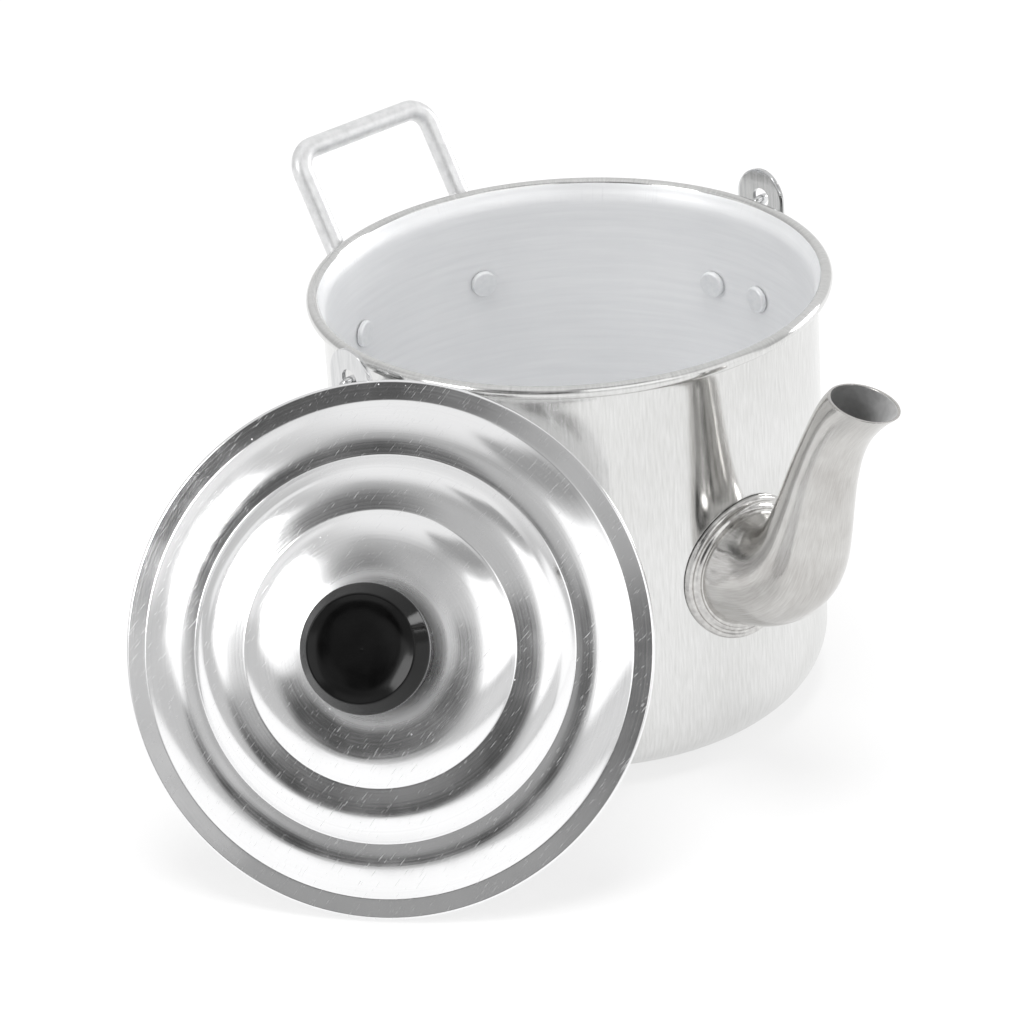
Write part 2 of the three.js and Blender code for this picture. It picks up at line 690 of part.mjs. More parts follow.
// Knob: moulded, waisted stem, wide grip with a bevel and a dished top, blind hole for the insert
function knob() {
  const foot = knobSeatHeight + seatGap;
  const top = foot + knobHeight;
  const edgeTop = top - (knobRadius - knobTopRadius) * Math.SQRT2 - knobDish / 2;
  const edgeFoot = edgeTop - knobEdgeHeight;
  const pocketRadius = insertRadius + seatGap;
  const pocketTop = foot + insertLength + 2 * seatGap;
  const flare = knobStemRadius / 8;
  const profile = [
    new THREE.Vector2(pocketRadius, foot),
    new THREE.Vector2(knobStemRadius + flare, foot),
    new THREE.Vector2(knobStemRadius, foot + flare),
    new THREE.Vector2(knobStemRadius, foot + (edgeFoot - foot) / 2),
    ...arc(knobRadius - flare, foot + (edgeFoot - foot) / 2,
      knobRadius - flare - knobStemRadius, Math.PI, (Math.PI * 5) / 8, 3).slice(1),
    new THREE.Vector2(knobRadius, edgeFoot),
    new THREE.Vector2(knobRadius, edgeTop),
    new THREE.Vector2(knobTopRadius + knobDish / 4, top - knobDish / 8),
    new THREE.Vector2(knobTopRadius - knobDish / 4, top),
    new THREE.Vector2(knobTopRadius - knobDish, top - knobDish / 2),
    new THREE.Vector2(knobTopRadius / 2, top - knobDish),
    new THREE.Vector2(0, top - knobDish * 1.1),
    new THREE.Vector2(0, pocketTop),
    new THREE.Vector2(pocketRadius, pocketTop),
    new THREE.Vector2(pocketRadius, foot),
  ];
  profile.reverse();
  const geometry = new THREE.LatheGeometry(onAxisProfile(profile), knobSegments);
  geometry.rotateX(Math.PI / 2);
  return closed(geometry);
}

// A profile that starts and ends on the axis, from a loop that touches the axis on one side
function onAxisProfile(loop) {
  const start = loop.findIndex((point) => point.x === 0);
  const ring = [...loop.slice(start), ...loop.slice(1, start + 1)];
  return ring[1].x === 0 ? ring.slice(1) : ring;
}

// Threaded insert moulded into the knob
function knobInsert() {
  const foot = knobSeatHeight + 2 * seatGap;
  const bore = screwRadius + seatGap;
  return turned([
    new THREE.Vector2(bore, foot),
    new THREE.Vector2(insertRadius, foot),
    new THREE.Vector2(insertRadius, foot + insertLength),
    new THREE.Vector2(bore, foot + insertLength),
  ], smallSegments);
}

// Washer between the lid and the screw's head
const washerTop = knobSeatHeight - lidSheet - seatGap;

function knobWasher() {
  return turned([
    new THREE.Vector2(screwRadius + seatGap, washerTop - washerThickness),
    new THREE.Vector2(washerRadius, washerTop - washerThickness),
    new THREE.Vector2(washerRadius, washerTop),
    new THREE.Vector2(screwRadius + seatGap, washerTop),
  ], smallSegments);
}

// Screw from inside the lid, through washer and sheet, up into the insert
const screwCrownShare = 0.7; // flat of the screw's head, of its full radius

function knobScrew() {
  const headTop = washerTop - washerThickness - seatGap;
  const head = headTop - screwHeadHeight;
  const slot = new THREE.BoxGeometry(3 * screwHeadRadius, screwHeadHeight / 3, screwHeadHeight);
  slot.translate(0, 0, head);
  const screw = turned([
    new THREE.Vector2(0, head),
    new THREE.Vector2(screwHeadRadius * screwCrownShare, head),
    new THREE.Vector2(screwHeadRadius, headTop - screwHeadHeight / 2),
    new THREE.Vector2(screwHeadRadius, headTop),
    new THREE.Vector2(screwRadius, headTop),
    new THREE.Vector2(screwRadius, headTop + screwLength),
    new THREE.Vector2(0, headTop + screwLength),
  ], smallSegments);
  return cut(screw, [slot]);
}

// Where the lid leans: its edge stands on the ground, and it comes as near to the pot as the rim,
// the wall, the right ear with its rivets and the bail's hook allow
const upwards = new THREE.Vector3(0, 0, 1);
const lidFacing = new THREE.Vector3(
  Math.cos(lidElevation) * Math.cos(lidAzimuth),
  Math.cos(lidElevation) * Math.sin(lidAzimuth),
  Math.sin(lidElevation)
);
const lidCentreHeight = (lidRadius - lidEdgeRoll) * Math.cos(lidElevation) + lidEdgeRoll + seatGap;

// Round things that the lid could touch, each a middle point with a radius about it
function lidObstacles() {
  const spots = [];
  const addRing = (ringRadius, height, count) => {
    for (let i = 0; i < count; i += 1) {
      const angle = (2 * Math.PI * i) / count;
      const middle = new THREE.Vector3(ringRadius * Math.cos(angle), ringRadius * Math.sin(angle), height);
      spots.push({ middle, radius: rimRollRadius });
    }
  };
  const ringSpots = 90;
  addRing(rimRadius, rimHeight, ringSpots);
  const wallRings = 12;
  for (let i = 0; i < wallRings; i += 1) {
    const height = THREE.MathUtils.lerp(baseCornerRadius, rimHeight, i / wallRings);
    addRing(wallRadius - rimRollRadius, height, ringSpots);
  }
  const domeTop = wallRadius + 2 * seatGap + earThickness + rivetDomeHeight;
  const plateMiddle = wallRadius + seatGap + earThickness / 2;
  const plateTop = rivetHeight + earPlateDrop;
  for (const side of [-1, 1]) {
    const dome = new THREE.Vector3(0, rivetDomeRadius - domeTop, rivetHeight);
    dome.applyAxisAngle(upwards, -earSetbackAngle - side * earRivetAngle);
    spots.push({ middle: dome, radius: rivetDomeRadius });
    const corner = new THREE.Vector3(0, -plateMiddle, plateTop);
    corner.applyAxisAngle(upwards, -earSetbackAngle - side * Math.asin(earPlateHalfWidth / plateMiddle));
    spots.push({ middle: corner, radius: earThickness / 2 });
  }
  const tabSpots = 16;
  for (let i = 0; i <= tabSpots; i += 1) {
    const angle = (Math.PI * i) / tabSpots;
    const middle = new THREE.Vector3(
      -earSetback + earTabRadius * Math.cos(angle), -earReach, earHoleHeight + earTabRadius * Math.sin(angle)
    );
    spots.push({ middle, radius: earThickness / 2 });
  }
  const hookSpots = 8;
  for (let i = 0; i <= hookSpots; i += 1) {
    const along = (bailStraight * i) / hookSpots;
    const middle = new THREE.Vector3(
      -earSetback - along * Math.cos(bailHang), -armReach, earHoleHeight - along * Math.sin(bailHang)
    );
    spots.push({ middle, radius: wireRadius });
  }
  return spots;
}

function lidCentre(standoff) {
  return new THREE.Vector3(
    standoff * Math.cos(lidAzimuth) + lidSideways * Math.sin(lidAzimuth),
    standoff * Math.sin(lidAzimuth) - lidSideways * Math.cos(lidAzimuth),
    lidCentreHeight
  );
}

// Least gap between the lid, taken as a disk with a round edge, and what it leans on
function lidGap(standoff, obstacles) {
  const centre = lidCentre(standoff);
  const edgeRadius = lidRadius - lidEdgeRoll;
  let least = Infinity;
  for (const { middle, radius } of obstacles) {
    const offset = middle.clone().sub(centre);
    const ahead = offset.dot(lidFacing);
    const inPlane = Math.sqrt(offset.lengthSq() - ahead * ahead);
    const gap = inPlane < edgeRadius ? -ahead : Math.hypot(ahead, inPlane - edgeRadius);
    const skirtGap = Math.hypot(ahead + lidSkirtDepth - lidEdgeRoll, inPlane - lidSkirtRadius);
    least = Math.min(least, gap - radius - lidEdgeRoll, skirtGap - radius);
  }
  return least;
}

// Halve the way between a place that is surely clear and one that surely isn't
function leaningStandoff() {
  const obstacles = lidObstacles();
  let clear = rimRadius + 2 * lidRadius;
  let touching = rimRadius;
  const halvings = 30;
  for (let i = 0; i < halvings; i += 1) {
    const middle = (clear + touching) / 2;
    if (lidGap(middle, obstacles) > seatGap) {
      clear = middle;
    } else {
      touching = middle;
    }
  }
  return clear;
}

const lid = new THREE.Group();
lid.quaternion.setFromUnitVectors(upwards, lidFacing);
lid.position.copy(lidCentre(leaningStandoff()));
lid.add(piece('lid_shell', lidShell(), polishedAluminium));
lid.add(piece('knob', knob(), blackPlastic));
lid.add(piece('knob_insert', knobInsert(), brass));
lid.add(piece('knob_washer', knobWasher(), steelWire));
lid.add(piece('knob_screw', knobScrew(), steelWire));
teapot.add(lid);

export default teapot;
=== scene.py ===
from math import acos, copysign, cos, degrees, pi, radians, sin, sqrt

import bmesh
import bpy
from mathutils import Matrix, Quaternion, Vector


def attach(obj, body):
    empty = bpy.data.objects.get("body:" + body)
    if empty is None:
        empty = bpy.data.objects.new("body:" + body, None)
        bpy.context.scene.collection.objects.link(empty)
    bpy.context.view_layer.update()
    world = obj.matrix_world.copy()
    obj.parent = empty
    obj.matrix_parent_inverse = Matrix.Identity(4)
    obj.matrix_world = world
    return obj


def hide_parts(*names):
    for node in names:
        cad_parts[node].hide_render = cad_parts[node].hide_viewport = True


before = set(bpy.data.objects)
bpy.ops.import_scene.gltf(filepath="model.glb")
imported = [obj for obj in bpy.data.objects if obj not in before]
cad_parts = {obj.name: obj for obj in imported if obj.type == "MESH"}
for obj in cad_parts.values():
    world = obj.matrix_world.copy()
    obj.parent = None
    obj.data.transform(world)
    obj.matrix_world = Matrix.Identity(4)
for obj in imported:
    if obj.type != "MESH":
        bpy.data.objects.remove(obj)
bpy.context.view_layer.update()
mm = 0.001

# Camera
# A long lens looks down on the teapot from the spout's front, rolled a little as the photograph is.
camera_place = (1.0647, -0.9929, 0.7971)
camera_ahead = Vector((-0.6642, 0.5983, -0.4482))
camera_roll = Quaternion((0, 0, 1), radians(-3.65))
film_width = 36
lens_length = 158.2
farthest_seen = 20


def placed(name, data):
    """A new object at the origin, in the scene"""
    made = bpy.data.objects.new(name, data)
    bpy.context.collection.objects.link(made)
    return made


def aimed(thing, ahead, roll=Quaternion()):
    """Turns a camera or a lamp to look ahead, and rolls it about that line"""
    thing.rotation_mode = "QUATERNION"
    thing.rotation_quaternion = ahead.to_track_quat("-Z", "Y") @ roll


camera_data = bpy.data.cameras.new("camera")
camera_data.sensor_width = film_width
camera_data.lens = lens_length
camera_data.clip_end = farthest_seen
camera = placed("camera", camera_data)
camera.location = camera_place
aimed(camera, camera_ahead, camera_roll)
bpy.context.scene.camera = camera
bpy.context.scene.view_settings.view_transform = "Standard"

# Studio
# A white floor in a grey room with a pale ceiling and back wall. Beside the camera stand soft
# boxes, grey panels and dark cards, all of which the polished metal mirrors.
floor_colour = (0.9, 0.9, 0.9, 1)
floor_half = 6
floor_drop = 0.15 * mm
floor_shade = 0.3
room_brightness = 0.58
sky_discs = (  # azimuth, elevation, radius and softness in degrees, brightness
    (0, 90, 30, 12, 0.9),
    (120, 30, 45, 20, 0.8),
    (-67, 21, 22, 2.5, 0.07),
    (-65, 21, 9, 3, 0.36),
    (-50, 28, 6, 3, 0.12),
    (-78, 22, 6, 3, 0.6),
    (-57, 38, 6, 3, 0.5),
)
sky_panels = (  # azimuth, half width, lowest, highest and softness in degrees, brightness
    (-66, 19, 46, 54, 4, 0.42),
    (-17, 30, 53, 70, 4, 0.34),
    (-19, 18, 2, 15, 4, 0.72),
    (22, 20, -5, 42, 5, 1.1),
    (-17, 22, 18, 49, 2, 1.35),
    (-135, 8, 15, 60, 4, 0.9),
    (-118, 9, 20, 48, 4, 0.7),
    (-97, 11, 18, 43, 2, 1.35),
)
black_card = (-73, 39, 7, 3, 0.09)  # laid over the panels; the same numbers as a disc has
lamps = (  # name, place, size in metres, power in watts, whether the metal mirrors it
    ("overhead_box", (0.05, -0.1, 2.4), 1.4, 35, False),
    ("left_lamp", (-0.34, -1.9, 1.25), 0.8, 8, True),
    ("right_lamp", (0.66, 2.1, 0.6), 0.9, 12, True),
)


def fed(socket, value):
    """Feeds a socket from a number, from another socket or from a node's first output"""
    if isinstance(value, bpy.types.Node):
        value = value.outputs[0]
    if isinstance(value, bpy.types.NodeSocket):
        socket.id_data.links.new(value, socket)
    else:
        socket.default_value = value


def add_node(tree, kind, inputs=None, family="ShaderNode", **settings):
    """A new node with its settings, its inputs fed by name or by number"""
    made = tree.nodes.new(family + kind)
    for key, value in settings.items():
        setattr(made, key, value)
    for key, value in (inputs or {}).items():
        fed(made.inputs[key], value)
    return made


def maths(tree, operation, *numbers):
    return add_node(tree, "Math", dict(enumerate(numbers)), operation=operation)


def vector_maths(tree, operation, *vectors):
    made = add_node(tree, "VectorMath", dict(enumerate(vectors)), operation=operation)
    return made.outputs["Value" if operation in ("DOT_PRODUCT", "LENGTH") else "Vector"]


def ranged(tree, value, low, high, to_low, to_high, ease="LINEAR"):
    """A number that runs between two others as the value runs from low to high, and stops there"""
    return add_node(tree, "MapRange", {
        "Value": value, "From Min": low, "From Max": high, "To Min": to_low, "To Max": to_high,
    }, interpolation_type=ease)


def product(tree, first, second):
    return maths(tree, "MULTIPLY", first, second)


def compass(azimuth, elevation):
    """The way to a point of the sky, from degrees"""
    a, e = radians(azimuth), radians(elevation)
    return Vector((cos(e) * cos(a), cos(e) * sin(a), sin(e)))


def disc(tree, way, towards, size, edge):
    """1 inside a round disc of the sky, 0 outside, with a soft edge; sizes in degrees"""
    near = vector_maths(tree, "DOT_PRODUCT", way, towards)
    outer, inner = cos(radians(size + edge)), cos(radians(size - edge))
    return ranged(tree, near, outer, inner, 0, 1, "SMOOTHSTEP")


def panel(tree, way, middle, half_width, low, high, edge):
    """1 inside an upright panel of the sky, 0 outside, with soft edges; sizes in degrees"""
    facing_it = (0, 0, radians(-middle))
    faced = add_node(tree, "Mapping", {"Vector": way, "Rotation": facing_it})
    ahead, left, up = add_node(tree, "SeparateXYZ", {0: faced}).outputs
    aside = maths(tree, "ABSOLUTE", maths(tree, "ARCTAN2", left, ahead))
    height = maths(tree, "ARCSINE", up)
    inside = 1.0
    for value, outer, inner in (
        (aside, half_width + edge, half_width - edge),
        (height, low - edge, low + edge),
        (height, high + edge, high - edge),
    ):
        within = ranged(tree, value, radians(outer), radians(inner), 0, 1, "SMOOTHSTEP")
        inside = product(tree, within, inside)
    return inside


def blended(tree, factor, first, second):
    """The first number where the factor is 0 and the second where it is 1"""
    return add_node(tree, "Mix", {0: factor, 2: first, 3: second}, data_type="FLOAT")


def plain_mesh(name, points, edges=(), faces=()):
    mesh = bpy.data.meshes.new(name)
    mesh.from_pydata(points, edges, faces)
    return mesh


def new_material(name):
    material = bpy.data.materials.new(name)
    material.use_nodes = True
    return material, material.node_tree


world = bpy.data.worlds.new("studio")
bpy.context.scene.world = world
world.use_nodes = True
sky = world.node_tree
sky.nodes.clear()
way = add_node(sky, "TexCoord").outputs["Generated"]
level = room_brightness
for azimuth, elevation, size, edge, brightness in sky_discs:
    level = blended(sky, disc(sky, way, compass(azimuth, elevation), size, edge), level, brightness)
for azimuth, half_width, low, high, edge, brightness in sky_panels:
    level = blended(sky, panel(sky, way, azimuth, half_width, low, high, edge), level, brightness)
azimuth, elevation, size, edge, brightness = black_card
level = blended(sky, disc(sky, way, compass(azimuth, elevation), size, edge), level, brightness)
seen = add_node(sky, "LightPath").outputs["Is Camera Ray"]
level = blended(sky, seen, level, 1.0)
background = add_node(sky, "Background", {"Color": (1, 1, 1, 1), "Strength": level})
add_node(sky, "OutputWorld", {"Surface": background})

floor_corners = [
    (x * floor_half, y * floor_half, -floor_drop) for x, y in ((-1, -1), (1, -1), (1, 1), (-1, 1))
]
floor = placed("floor", plain_mesh("floor", floor_corners, faces=[(0, 1, 2, 3)]))
paper, tree = new_material("studio_paper")
tree.nodes.clear()
rays = add_node(tree, "LightPath")
seen = maths(tree, "MAXIMUM", rays.outputs["Is Camera Ray"], rays.outputs["Is Glossy Ray"])
lit = add_node(tree, "BsdfDiffuse", {"Color": floor_colour})
glow = add_node(tree, "Emission", {"Color": (1, 1, 1, 1), "Strength": 1.0})
share = product(tree, seen, 1 - floor_shade)
mix = add_node(tree, "MixShader", {0: share, 1: lit, 2: glow})
add_node(tree, "OutputMaterial", {"Surface": mix})
floor.data.materials.append(paper)

for name, place, size, power, mirrored in lamps:
    lamp = bpy.data.lights.new(name, "AREA")
    lamp.shape = "DISK"
    lamp.size = size
    lamp.energy = power
    lamp_object = placed(name, lamp)
    lamp_object.location = place
    lamp_object.visible_glossy = mirrored
    aimed(lamp_object, -Vector(place))

# Pot body
# One spun and ironed aluminium shell: flat base, round corner, straight wall, small flare and a rim
# rolled outwards. The wall behind the spout is punched as a strainer.
wall_radius = 87.65 * mm
wall_sheet = 1.2 * mm
pot_height = 158.4 * mm
corner_radius = 22 * mm
roll_radius = 2.3 * mm
roll_standout = 5.35 * mm
flare_drop = 5.6 * mm
strainer_height = 74.5 * mm
strainer_azimuth = radians(-2.8)
strainer_hole = 2.5 * mm
strainer_pitch = 8 * mm
strainer_rings = (1, 2)  # round the middle hole
first_ring_holes = 6
turned_steps = 256
wall_rings = 56
corner_rings = 20
roll_rings = 20
base_rings = 6
punch_length = 8 * mm
punch_sides = 32
merged_below = 0.002 * mm
sharp_from = radians(50)
quarter_turn = 0.25
pot_colours = (0.66, 0.66, 0.65), (0.785, 0.785, 0.78)
hatching_turns = (27, -48)
hatching_depth = 0.004 * mm
inner_colours = (0.84, 0.845, 0.855), (0.91, 0.915, 0.92)
inner_depth = 0.015 * mm
crimp_foot = pot_height - 8.5 * mm
crimp_top = pot_height - 6 * mm
crimp_strength = 0.4
crimp_cut = 4.0  # how deep the crimp's ticks are beside the spun lines


def arc(centre, radius, start, end, steps):
    """Points of an arc in a profile's plane, radius and height, with both ends"""
    angles = [radians(start + (end - start) * i / steps) for i in range(steps + 1)]
    return [(centre[0] + radius * cos(a), centre[1] + radius * sin(a)) for a in angles]


def straight(start, end, steps):
    """Points between two points of a profile, without the ends"""
    return [tuple(Vector(start).lerp(Vector(end), i / steps)) for i in range(1, steps)]


def finished(name, vertices, faces, material, uv=None):
    """A smooth mesh object at the origin, its doubles merged and its faces pointing out"""
    mesh = plain_mesh(name, vertices, faces=faces)
    if uv is not None:
        layer = mesh.uv_layers.new(name="sheet")
        for loop, place in zip(layer.data, uv):
            loop.uv = place
    work = bmesh.new()
    work.from_mesh(mesh)
    bmesh.ops.remove_doubles(work, verts=work.verts, dist=merged_below)
    bmesh.ops.recalc_face_normals(work, faces=work.faces)
    work.to_mesh(mesh)
    work.free()
    mesh.shade_smooth()
    mesh.set_sharp_from_angle(angle=sharp_from)
    mesh.materials.append(material)
    return placed(name, mesh)


def turned(name, profile, material, steps=turned_steps, place=Matrix.Identity(4)):
    """A closed profile of radius and height turned about Z; its UV map is metres round and along"""
    vertices, faces, uv = [], [], []
    count = len(profile)
    for i in range(steps):
        angle = 2 * pi * i / steps
        vertices += [place @ Vector((r * cos(angle), r * sin(angle), z)) for r, z in profile]
    along = [0]
    for k in range(count):
        along.append(along[-1] + (Vector(profile[(k + 1) % count]) - Vector(profile[k])).length)
    around = [max(r for r, z in profile) * 2 * pi * i / steps for i in range(steps + 1)]
    for i in range(steps):
        here, there = i * count, ((i + 1) % steps) * count
        for k in range(count):
            other = (k + 1) % count
            if profile[k][0] == 0 and profile[other][0] == 0:
                continue
            corners = [
                (here + k, around[i], along[k]), (here + other, around[i], along[k + 1]),
                (there + other, around[i + 1], along[k + 1]), (there + k, around[i + 1], along[k]),
            ]
            if profile[k][0] == 0:
                del corners[3]
            elif profile[other][0] == 0:
                del corners[2]
            faces.append(tuple(number for number, u, v in corners))
            uv += [(u, v) for number, u, v in corners]
    return finished(name, vertices, faces, material, uv)


def metal(name, colour, roughness, anisotropy=0.0, metallic=1):
    """A bare metal shader; with anisotropy its grooves run along the sheet's U, round the piece"""
    material, tree = new_material(name)
    shader = tree.nodes["Principled BSDF"]
    values = {
        "Base Color": (*colour, 1), "Metallic": metallic, "Roughness": roughness,
        "Anisotropic": anisotropy,
    }
    if anisotropy:
        values["Anisotropic Rotation"] = quarter_turn
        values["Tangent"] = add_node(tree, "Tangent", direction_type="UV_MAP", uv_map="sheet")
    for label, value in values.items():
        fed(shader.inputs[label], value)
    return material, tree, shader


def object_place(tree):
    return add_node(tree, "TexCoord").outputs["Object"]


def sheet_place(tree):
    return add_node(tree, "UVMap", uv_map="sheet")


def noise(tree, place, scale, detail, roughness=0.5):
    return add_node(tree, "TexNoise", {
        "Vector": place, "Scale": scale, "Detail": detail, "Roughness": roughness,
    })


def grain(tree, place, stretch, turn, scale, detail=2):
    """Noise drawn out into fine lines: its place turned about Z, then stretched"""
    laid = add_node(tree, "Mapping", {
        "Vector": place, "Rotation": (0, 0, radians(turn)), "Scale": stretch,
    })
    return noise(tree, laid, scale, detail, 0.6)


def total(tree, first, second):
    return maths(tree, "ADD", first, second)


def coloured(shader, value, between, dark, light):
    """Base colour that runs from dark to light as the value runs between two numbers"""
    tree = shader.id_data
    share = ranged(tree, value, *between, 0, 1)
    made = add_node(tree, "Mix", {0: share, 6: (*dark, 1), 7: (*light, 1)}, data_type="RGBA")
    fed(shader.inputs["Base Color"], made.outputs[2])


def roughened(shader, value, between, roughness):
    """Roughness that runs over a range as the value runs between two numbers"""
    fed(shader.inputs["Roughness"], ranged(shader.id_data, value, *between, *roughness))


def raised(shader, height, distance, strength=1.0):
    """Fine relief, the distance deep where the height runs from 0 to 1"""
    fed(shader.inputs["Normal"], add_node(shader.id_data, "Bump", {
        "Height": height, "Distance": distance, "Strength": strength,
    }))


pot_metal, tree, shader = metal("satin_aluminium", (0.8, 0.8, 0.795), 0.17, 0.95)
rising, falling = [
    grain(tree, sheet_place(tree), (1, 0.1, 1), turn, 1150, 3) for turn in hatching_turns
]
hatching = total(tree, rising, falling)
clouded = total(tree, hatching, noise(tree, object_place(tree), 22, 4))
coloured(shader, clouded, (1.15, 1.85), *pot_colours)
roughened(shader, clouded, (1.1, 1.9), (0.13, 0.2))
raised(shader, hatching, hatching_depth)

inner_metal, tree, shader = metal("etched_aluminium", (0.91, 0.915, 0.92), 0.45, metallic=0.4)
place = object_place(tree)
drawn_out = add_node(tree, "Mapping", {"Vector": place, "Scale": (0.05, 0.05, 1)})
spun_lines = noise(tree, drawn_out, 500, 4, 0.65)
bloom = noise(tree, place, 16, 5)
crimp = grain(tree, sheet_place(tree), (1, 0.04, 1), 0, 950)
up_wall = add_node(tree, "SeparateXYZ", {0: place}).outputs[2]
on_flare = ranged(tree, up_wall, crimp_foot, crimp_top, 0, crimp_strength)
ticks = product(tree, ranged(tree, crimp, 0.54, 0.62, 0, 1), ranged(tree, bloom, 0.46, 0.54, 0, 1))
ticks = product(tree, ticks, on_flare)
shade = maths(tree, "SUBTRACT", total(tree, spun_lines, bloom), ticks)
coloured(shader, shade, (0.75, 1.25), *inner_colours)
roughened(shader, bloom, (0.3, 0.7), (0.4, 0.52))
raised(shader, total(tree, spun_lines, product(tree, ticks, -crimp_cut)), inner_depth)

rim_centre = wall_radius + roll_standout - roll_radius
rim_height = pot_height - roll_radius
inner_radius = wall_radius - wall_sheet
corner = (wall_radius - corner_radius, corner_radius)
flare_foot = rim_height - flare_drop
flare_outside = [
    (wall_radius + 0.25 * mm, flare_foot + 1.6 * mm),
    (wall_radius + 0.75 * mm, flare_foot + 2.7 * mm),
]
flare_inside = [
    (inner_radius + 1.9 * mm, flare_foot + 5.2 * mm),
    (inner_radius + 1.1 * mm, flare_foot + 3.6 * mm),
    (inner_radius + 0.35 * mm, flare_foot + 1.8 * mm),
]
pot_profile = [
    (0, 0),
    *straight((0, 0), (corner[0], 0), base_rings),
    *arc(corner, corner_radius, -90, 0, corner_rings),
    *straight((wall_radius, corner_radius), (wall_radius, flare_foot), wall_rings),
    (wall_radius, flare_foot),
    *flare_outside,
    *arc((rim_centre, rim_height), roll_radius, -110, 150, roll_rings),
    *flare_inside,
    (inner_radius, flare_foot),
    *straight((inner_radius, flare_foot), (inner_radius, corner_radius), wall_rings),
    *arc(corner, corner_radius - wall_sheet, 0, -90, corner_rings),
    *straight((corner[0], wall_sheet), (0, wall_sheet), base_rings),
    (0, wall_sheet),
]
pot_shell = turned("pot_shell", pot_profile, pot_metal)

strainer_places = [(0, 0)]
for ring in strainer_rings:
    for i in range(first_ring_holes * ring):
        angle = 2 * pi * i / (first_ring_holes * ring)
        strainer_places.append((ring * strainer_pitch * cos(angle), ring * strainer_pitch * sin(angle)))
strainer_turn = Matrix.Rotation(strainer_azimuth, 3, "Z")
punch_places = placed("punch_places", plain_mesh("punch_places", [
    strainer_turn @ Vector((wall_radius, across, strainer_height + up)) for across, up in strainer_places
]))


def shape_node(group, kind, inputs=None, **settings):
    return add_node(group, kind, inputs, "GeometryNode", **settings)


def node_group(name, inputs):
    """A new group, what its named inputs give, and its output node; geometry comes first in both"""
    group = bpy.data.node_groups.new(name, "GeometryNodeTree")
    group.interface.new_socket("Geometry", in_out="INPUT", socket_type="NodeSocketGeometry")
    group.interface.new_socket("Geometry", in_out="OUTPUT", socket_type="NodeSocketGeometry")
    for label, kind in inputs:
        group.interface.new_socket(label, in_out="INPUT", socket_type="NodeSocket" + kind)
    return group, group.nodes.new("NodeGroupInput").outputs, group.nodes.new("NodeGroupOutput")


def grown(piece, group, values):
    """Runs a node group on a piece, keeps the result as a plain mesh and removes the modifier"""
    modifier = piece.modifiers.new(group.name, "NODES")
    modifier.node_group = group
    for item in group.interface.items_tree:
        if item.in_out == "INPUT" and item.name in values:
            modifier[item.identifier] = values[item.name]
    bpy.context.view_layer.update()
    evaluated = piece.evaluated_get(bpy.context.evaluated_depsgraph_get())
    result = bpy.data.meshes.new_from_object(evaluated)
    piece.modifiers.remove(modifier)
    piece.data = result


def punched(group, geometry, punches):
    shapes = {"Mesh 1": geometry, "Mesh 2": punches}
    return shape_node(group, "MeshBoolean", shapes, operation="DIFFERENCE", solver="EXACT")


def made_real(group, geometry, material):
    """Instances turned into faces of their own, all of one material"""
    whole = shape_node(group, "RealizeInstances", {"Geometry": geometry})
    return shape_node(group, "SetMaterial", {"Geometry": whole, "Material": material})


group, given, out = node_group("strainer", [
    ("Places", "Object"), ("Hole radius", "Float"), ("Punch length", "Float"), ("Turn", "Float"),
    ("Inner reach", "Float"), ("Inner top", "Float"),
    ("Sheet metal", "Material"), ("Inner metal", "Material"),
])
places = shape_node(group, "ObjectInfo", {"Object": given["Places"]})
punch = shape_node(group, "MeshCylinder", {
    "Vertices": punch_sides, "Radius": given["Hole radius"], "Depth": given["Punch length"],
})
lay = add_node(group, "CombineXYZ", {"Y": pi / 2, "Z": given["Turn"]})
punches = shape_node(group, "InstanceOnPoints", {
    "Points": places.outputs["Geometry"], "Instance": punch.outputs["Mesh"], "Rotation": lay,
})
solid_punches = shape_node(group, "RealizeInstances", {"Geometry": punches})
holed = punched(group, given["Geometry"], solid_punches)
coated = made_real(group, holed, given["Sheet metal"])
spot = shape_node(group, "InputPosition")
height = add_node(group, "SeparateXYZ", {0: spot}).outputs[2]
level_spot = vector_maths(group, "MULTIPLY", spot, (1, 1, 0))
reach = vector_maths(group, "LENGTH", level_spot)
outwards = vector_maths(group, "NORMALIZE", level_spot)
inwards_and_up = vector_maths(group, "SUBTRACT", (0, 0, 1), outwards)
facing = vector_maths(group, "DOT_PRODUCT", shape_node(group, "InputNormal"), inwards_and_up)
within = maths(group, "LESS_THAN", reach, given["Inner reach"])
below_roll = maths(group, "LESS_THAN", height, given["Inner top"])
inside = product(group, product(group, within, below_roll), maths(group, "GREATER_THAN", facing, 0.0))
lined = shape_node(group, "SetMaterial", {
    "Geometry": coated, "Selection": inside, "Material": given["Inner metal"],
})
fed(out.inputs[0], lined)
grown(pot_shell, group, {
    "Places": punch_places, "Hole radius": strainer_hole, "Punch length": punch_length,
    "Turn": strainer_azimuth, "Inner reach": rim_centre - roll_radius / 2,
    "Inner top": rim_height + roll_radius / 3,
    "Sheet metal": pot_metal, "Inner metal": inner_metal,
})
bpy.data.objects.remove(punch_places)
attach(pot_shell, "pot")
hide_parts("pot_body")

